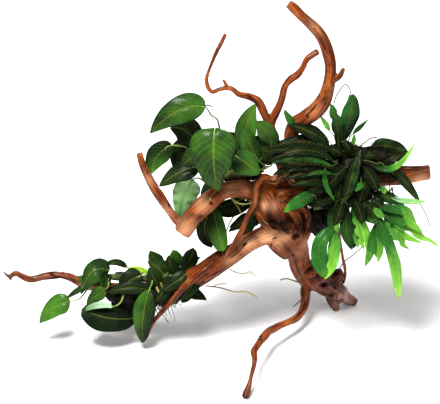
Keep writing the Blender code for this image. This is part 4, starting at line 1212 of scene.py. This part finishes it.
def rootMat(name, centre, halfSizes):
    bpy.ops.mesh.primitive_ico_sphere_add(subdivisions=rootTangle["matDetail"], radius=1.0)
    mat = bpy.context.object
    mat.name = name
    for vertex in mat.data.vertices:
        way = vertex.co.copy()
        uneven = 1 + 0.22 * noise.noise(way * 2.3 + Vector(centre) * 0.13) + 0.12 * noise.noise(way * 7)
        uneven += 0.12 * noise.noise(way * 14)
        vertex.co = spot(*[c + r * w * uneven for c, r, w in zip(centre, halfSizes, way)])
    return mat


def fibresOver(rng, centre, halfSizes):
    # short fibres that lie over a mat
    fibres = []
    for _ in range(rootTangle["overMats"]):
        way = np.array([rng.gauss(0, 1) for _ in range(3)])
        way /= np.linalg.norm(way)
        start = np.array(centre) + np.array(halfSizes) * way * 0.96
        heading = np.cross(way, [rng.gauss(0, 1) for _ in range(3)]) + way * 0.25
        length = rng.uniform(*rootTangle["overLengths"])
        fibres.append(rootFibre(rng, start, heading, length, rootTangle["overWander"]))
    return fibres


def fibresHanging(rng, count, xs, ys, zs, strayX, strayY, fall, lengths, wander):
    fibres = []
    for _ in range(count):
        start = (rng.uniform(*xs), rng.uniform(*ys), rng.uniform(*zs))
        way = (rng.gauss(*strayX), rng.gauss(*strayY), fall)
        fibres.append(rootFibre(rng, start, way, rng.uniform(*lengths), wander))
    return fibres


def fibresRound(rng):
    # fibres that wrap the trunk under the fern
    fibres = []
    (y, z), (reachY, reachZ) = rootTangle["holdCentre"], rootTangle["holdReach"]
    for _ in range(rootTangle["fernHold"]):
        turn = rng.uniform(0, math.tau)
        x = rng.uniform(*rootTangle["holdAlong"])
        start = (x, y + reachY * math.cos(turn), z + reachZ * math.sin(turn))
        way = (rng.gauss(0, 0.6), -math.sin(turn), math.cos(turn))
        length = rng.uniform(*rootTangle["holdLengths"])
        fibres.append(rootFibre(rng, start, way, length, rootTangle["holdWander"]))
    return fibres


def finishRoots(name, pieces, paint, *nodes):
    piece = joinPieces(name, pieces)
    piece.data.materials.clear()
    piece.data.materials.append(paint)
    for vertex in piece.data.vertices:
        vertex.co.z = max(vertex.co.z, rootTangle["lowest"])
    bpy.ops.object.shade_smooth()
    settle(piece, "roots", *nodes)


def makeRoots(paint, palePaint, stemPaint):
    rng = random.Random(5)
    fibres = {name: [one for mat in mats for one in fibresOver(rng, *mat)] for name, mats in rootMats.items()}
    for name in rootMats:
        if name in hangingFibres:
            fibres[name] += fibresHanging(rng, *hangingFibres[name])
        else:
            fibres[name] += fibresRound(rng)
    nodes = {"fernRootMass": ["fern_root_mass"], "lowerRootMass": ["lower_root_mass"]}
    for name, mats in rootMats.items():
        pieces = [rootMat(f"{name}Mat{index}", *mat) for index, mat in enumerate(mats)]
        pieces.append(tubesAlong(name + "Fibres", fibres[name], 5))
        finishRoots(name, pieces, paint, *nodes.get(name, []))
    for name, finish, runs in (("strayRoots", palePaint, threads), ("strayStems", stemPaint, stems)):
        strays = [smoothRoute([(*stop, radius) for stop in stops], 2.5) for radius, stops in runs.values()]
        finishRoots(name, [tubesAlong(name, strays, 6)], finish)
    print("roots made")


def makePlants():
    paints = {name: leafFinish(name, **values) for name, values in leafPaints.items()}
    for name, tints in stalkPaints.items():
        paints[name] = stalkFinish(name, *tints)
    kinds = {
        "broad_leaf": ((paints["anubiasLeaf"], paints["leafStalk"]), broadKind),
        "fern_leaf": ((paints["fernFrond"], paints["frondStalk"]), frondKind),
    }
    blank = makeBlank()
    for seed, (prefix, nodePrefix, leaves, route, slot) in enumerate(leafGroups, 1):
        growLeaves(prefix, nodePrefix, leaves, route, blank, *kinds[slot], slot, seed)
    bpy.data.objects.remove(blank, do_unlink=True)
    makeRhizomes(paints["rhizomeSkin"])
    makeRoots(paints["rootFibre"], paints["strayRoot"], paints["frondStalk"])


setStudio()
makeDriftwood(woodFinish())
makePlants()
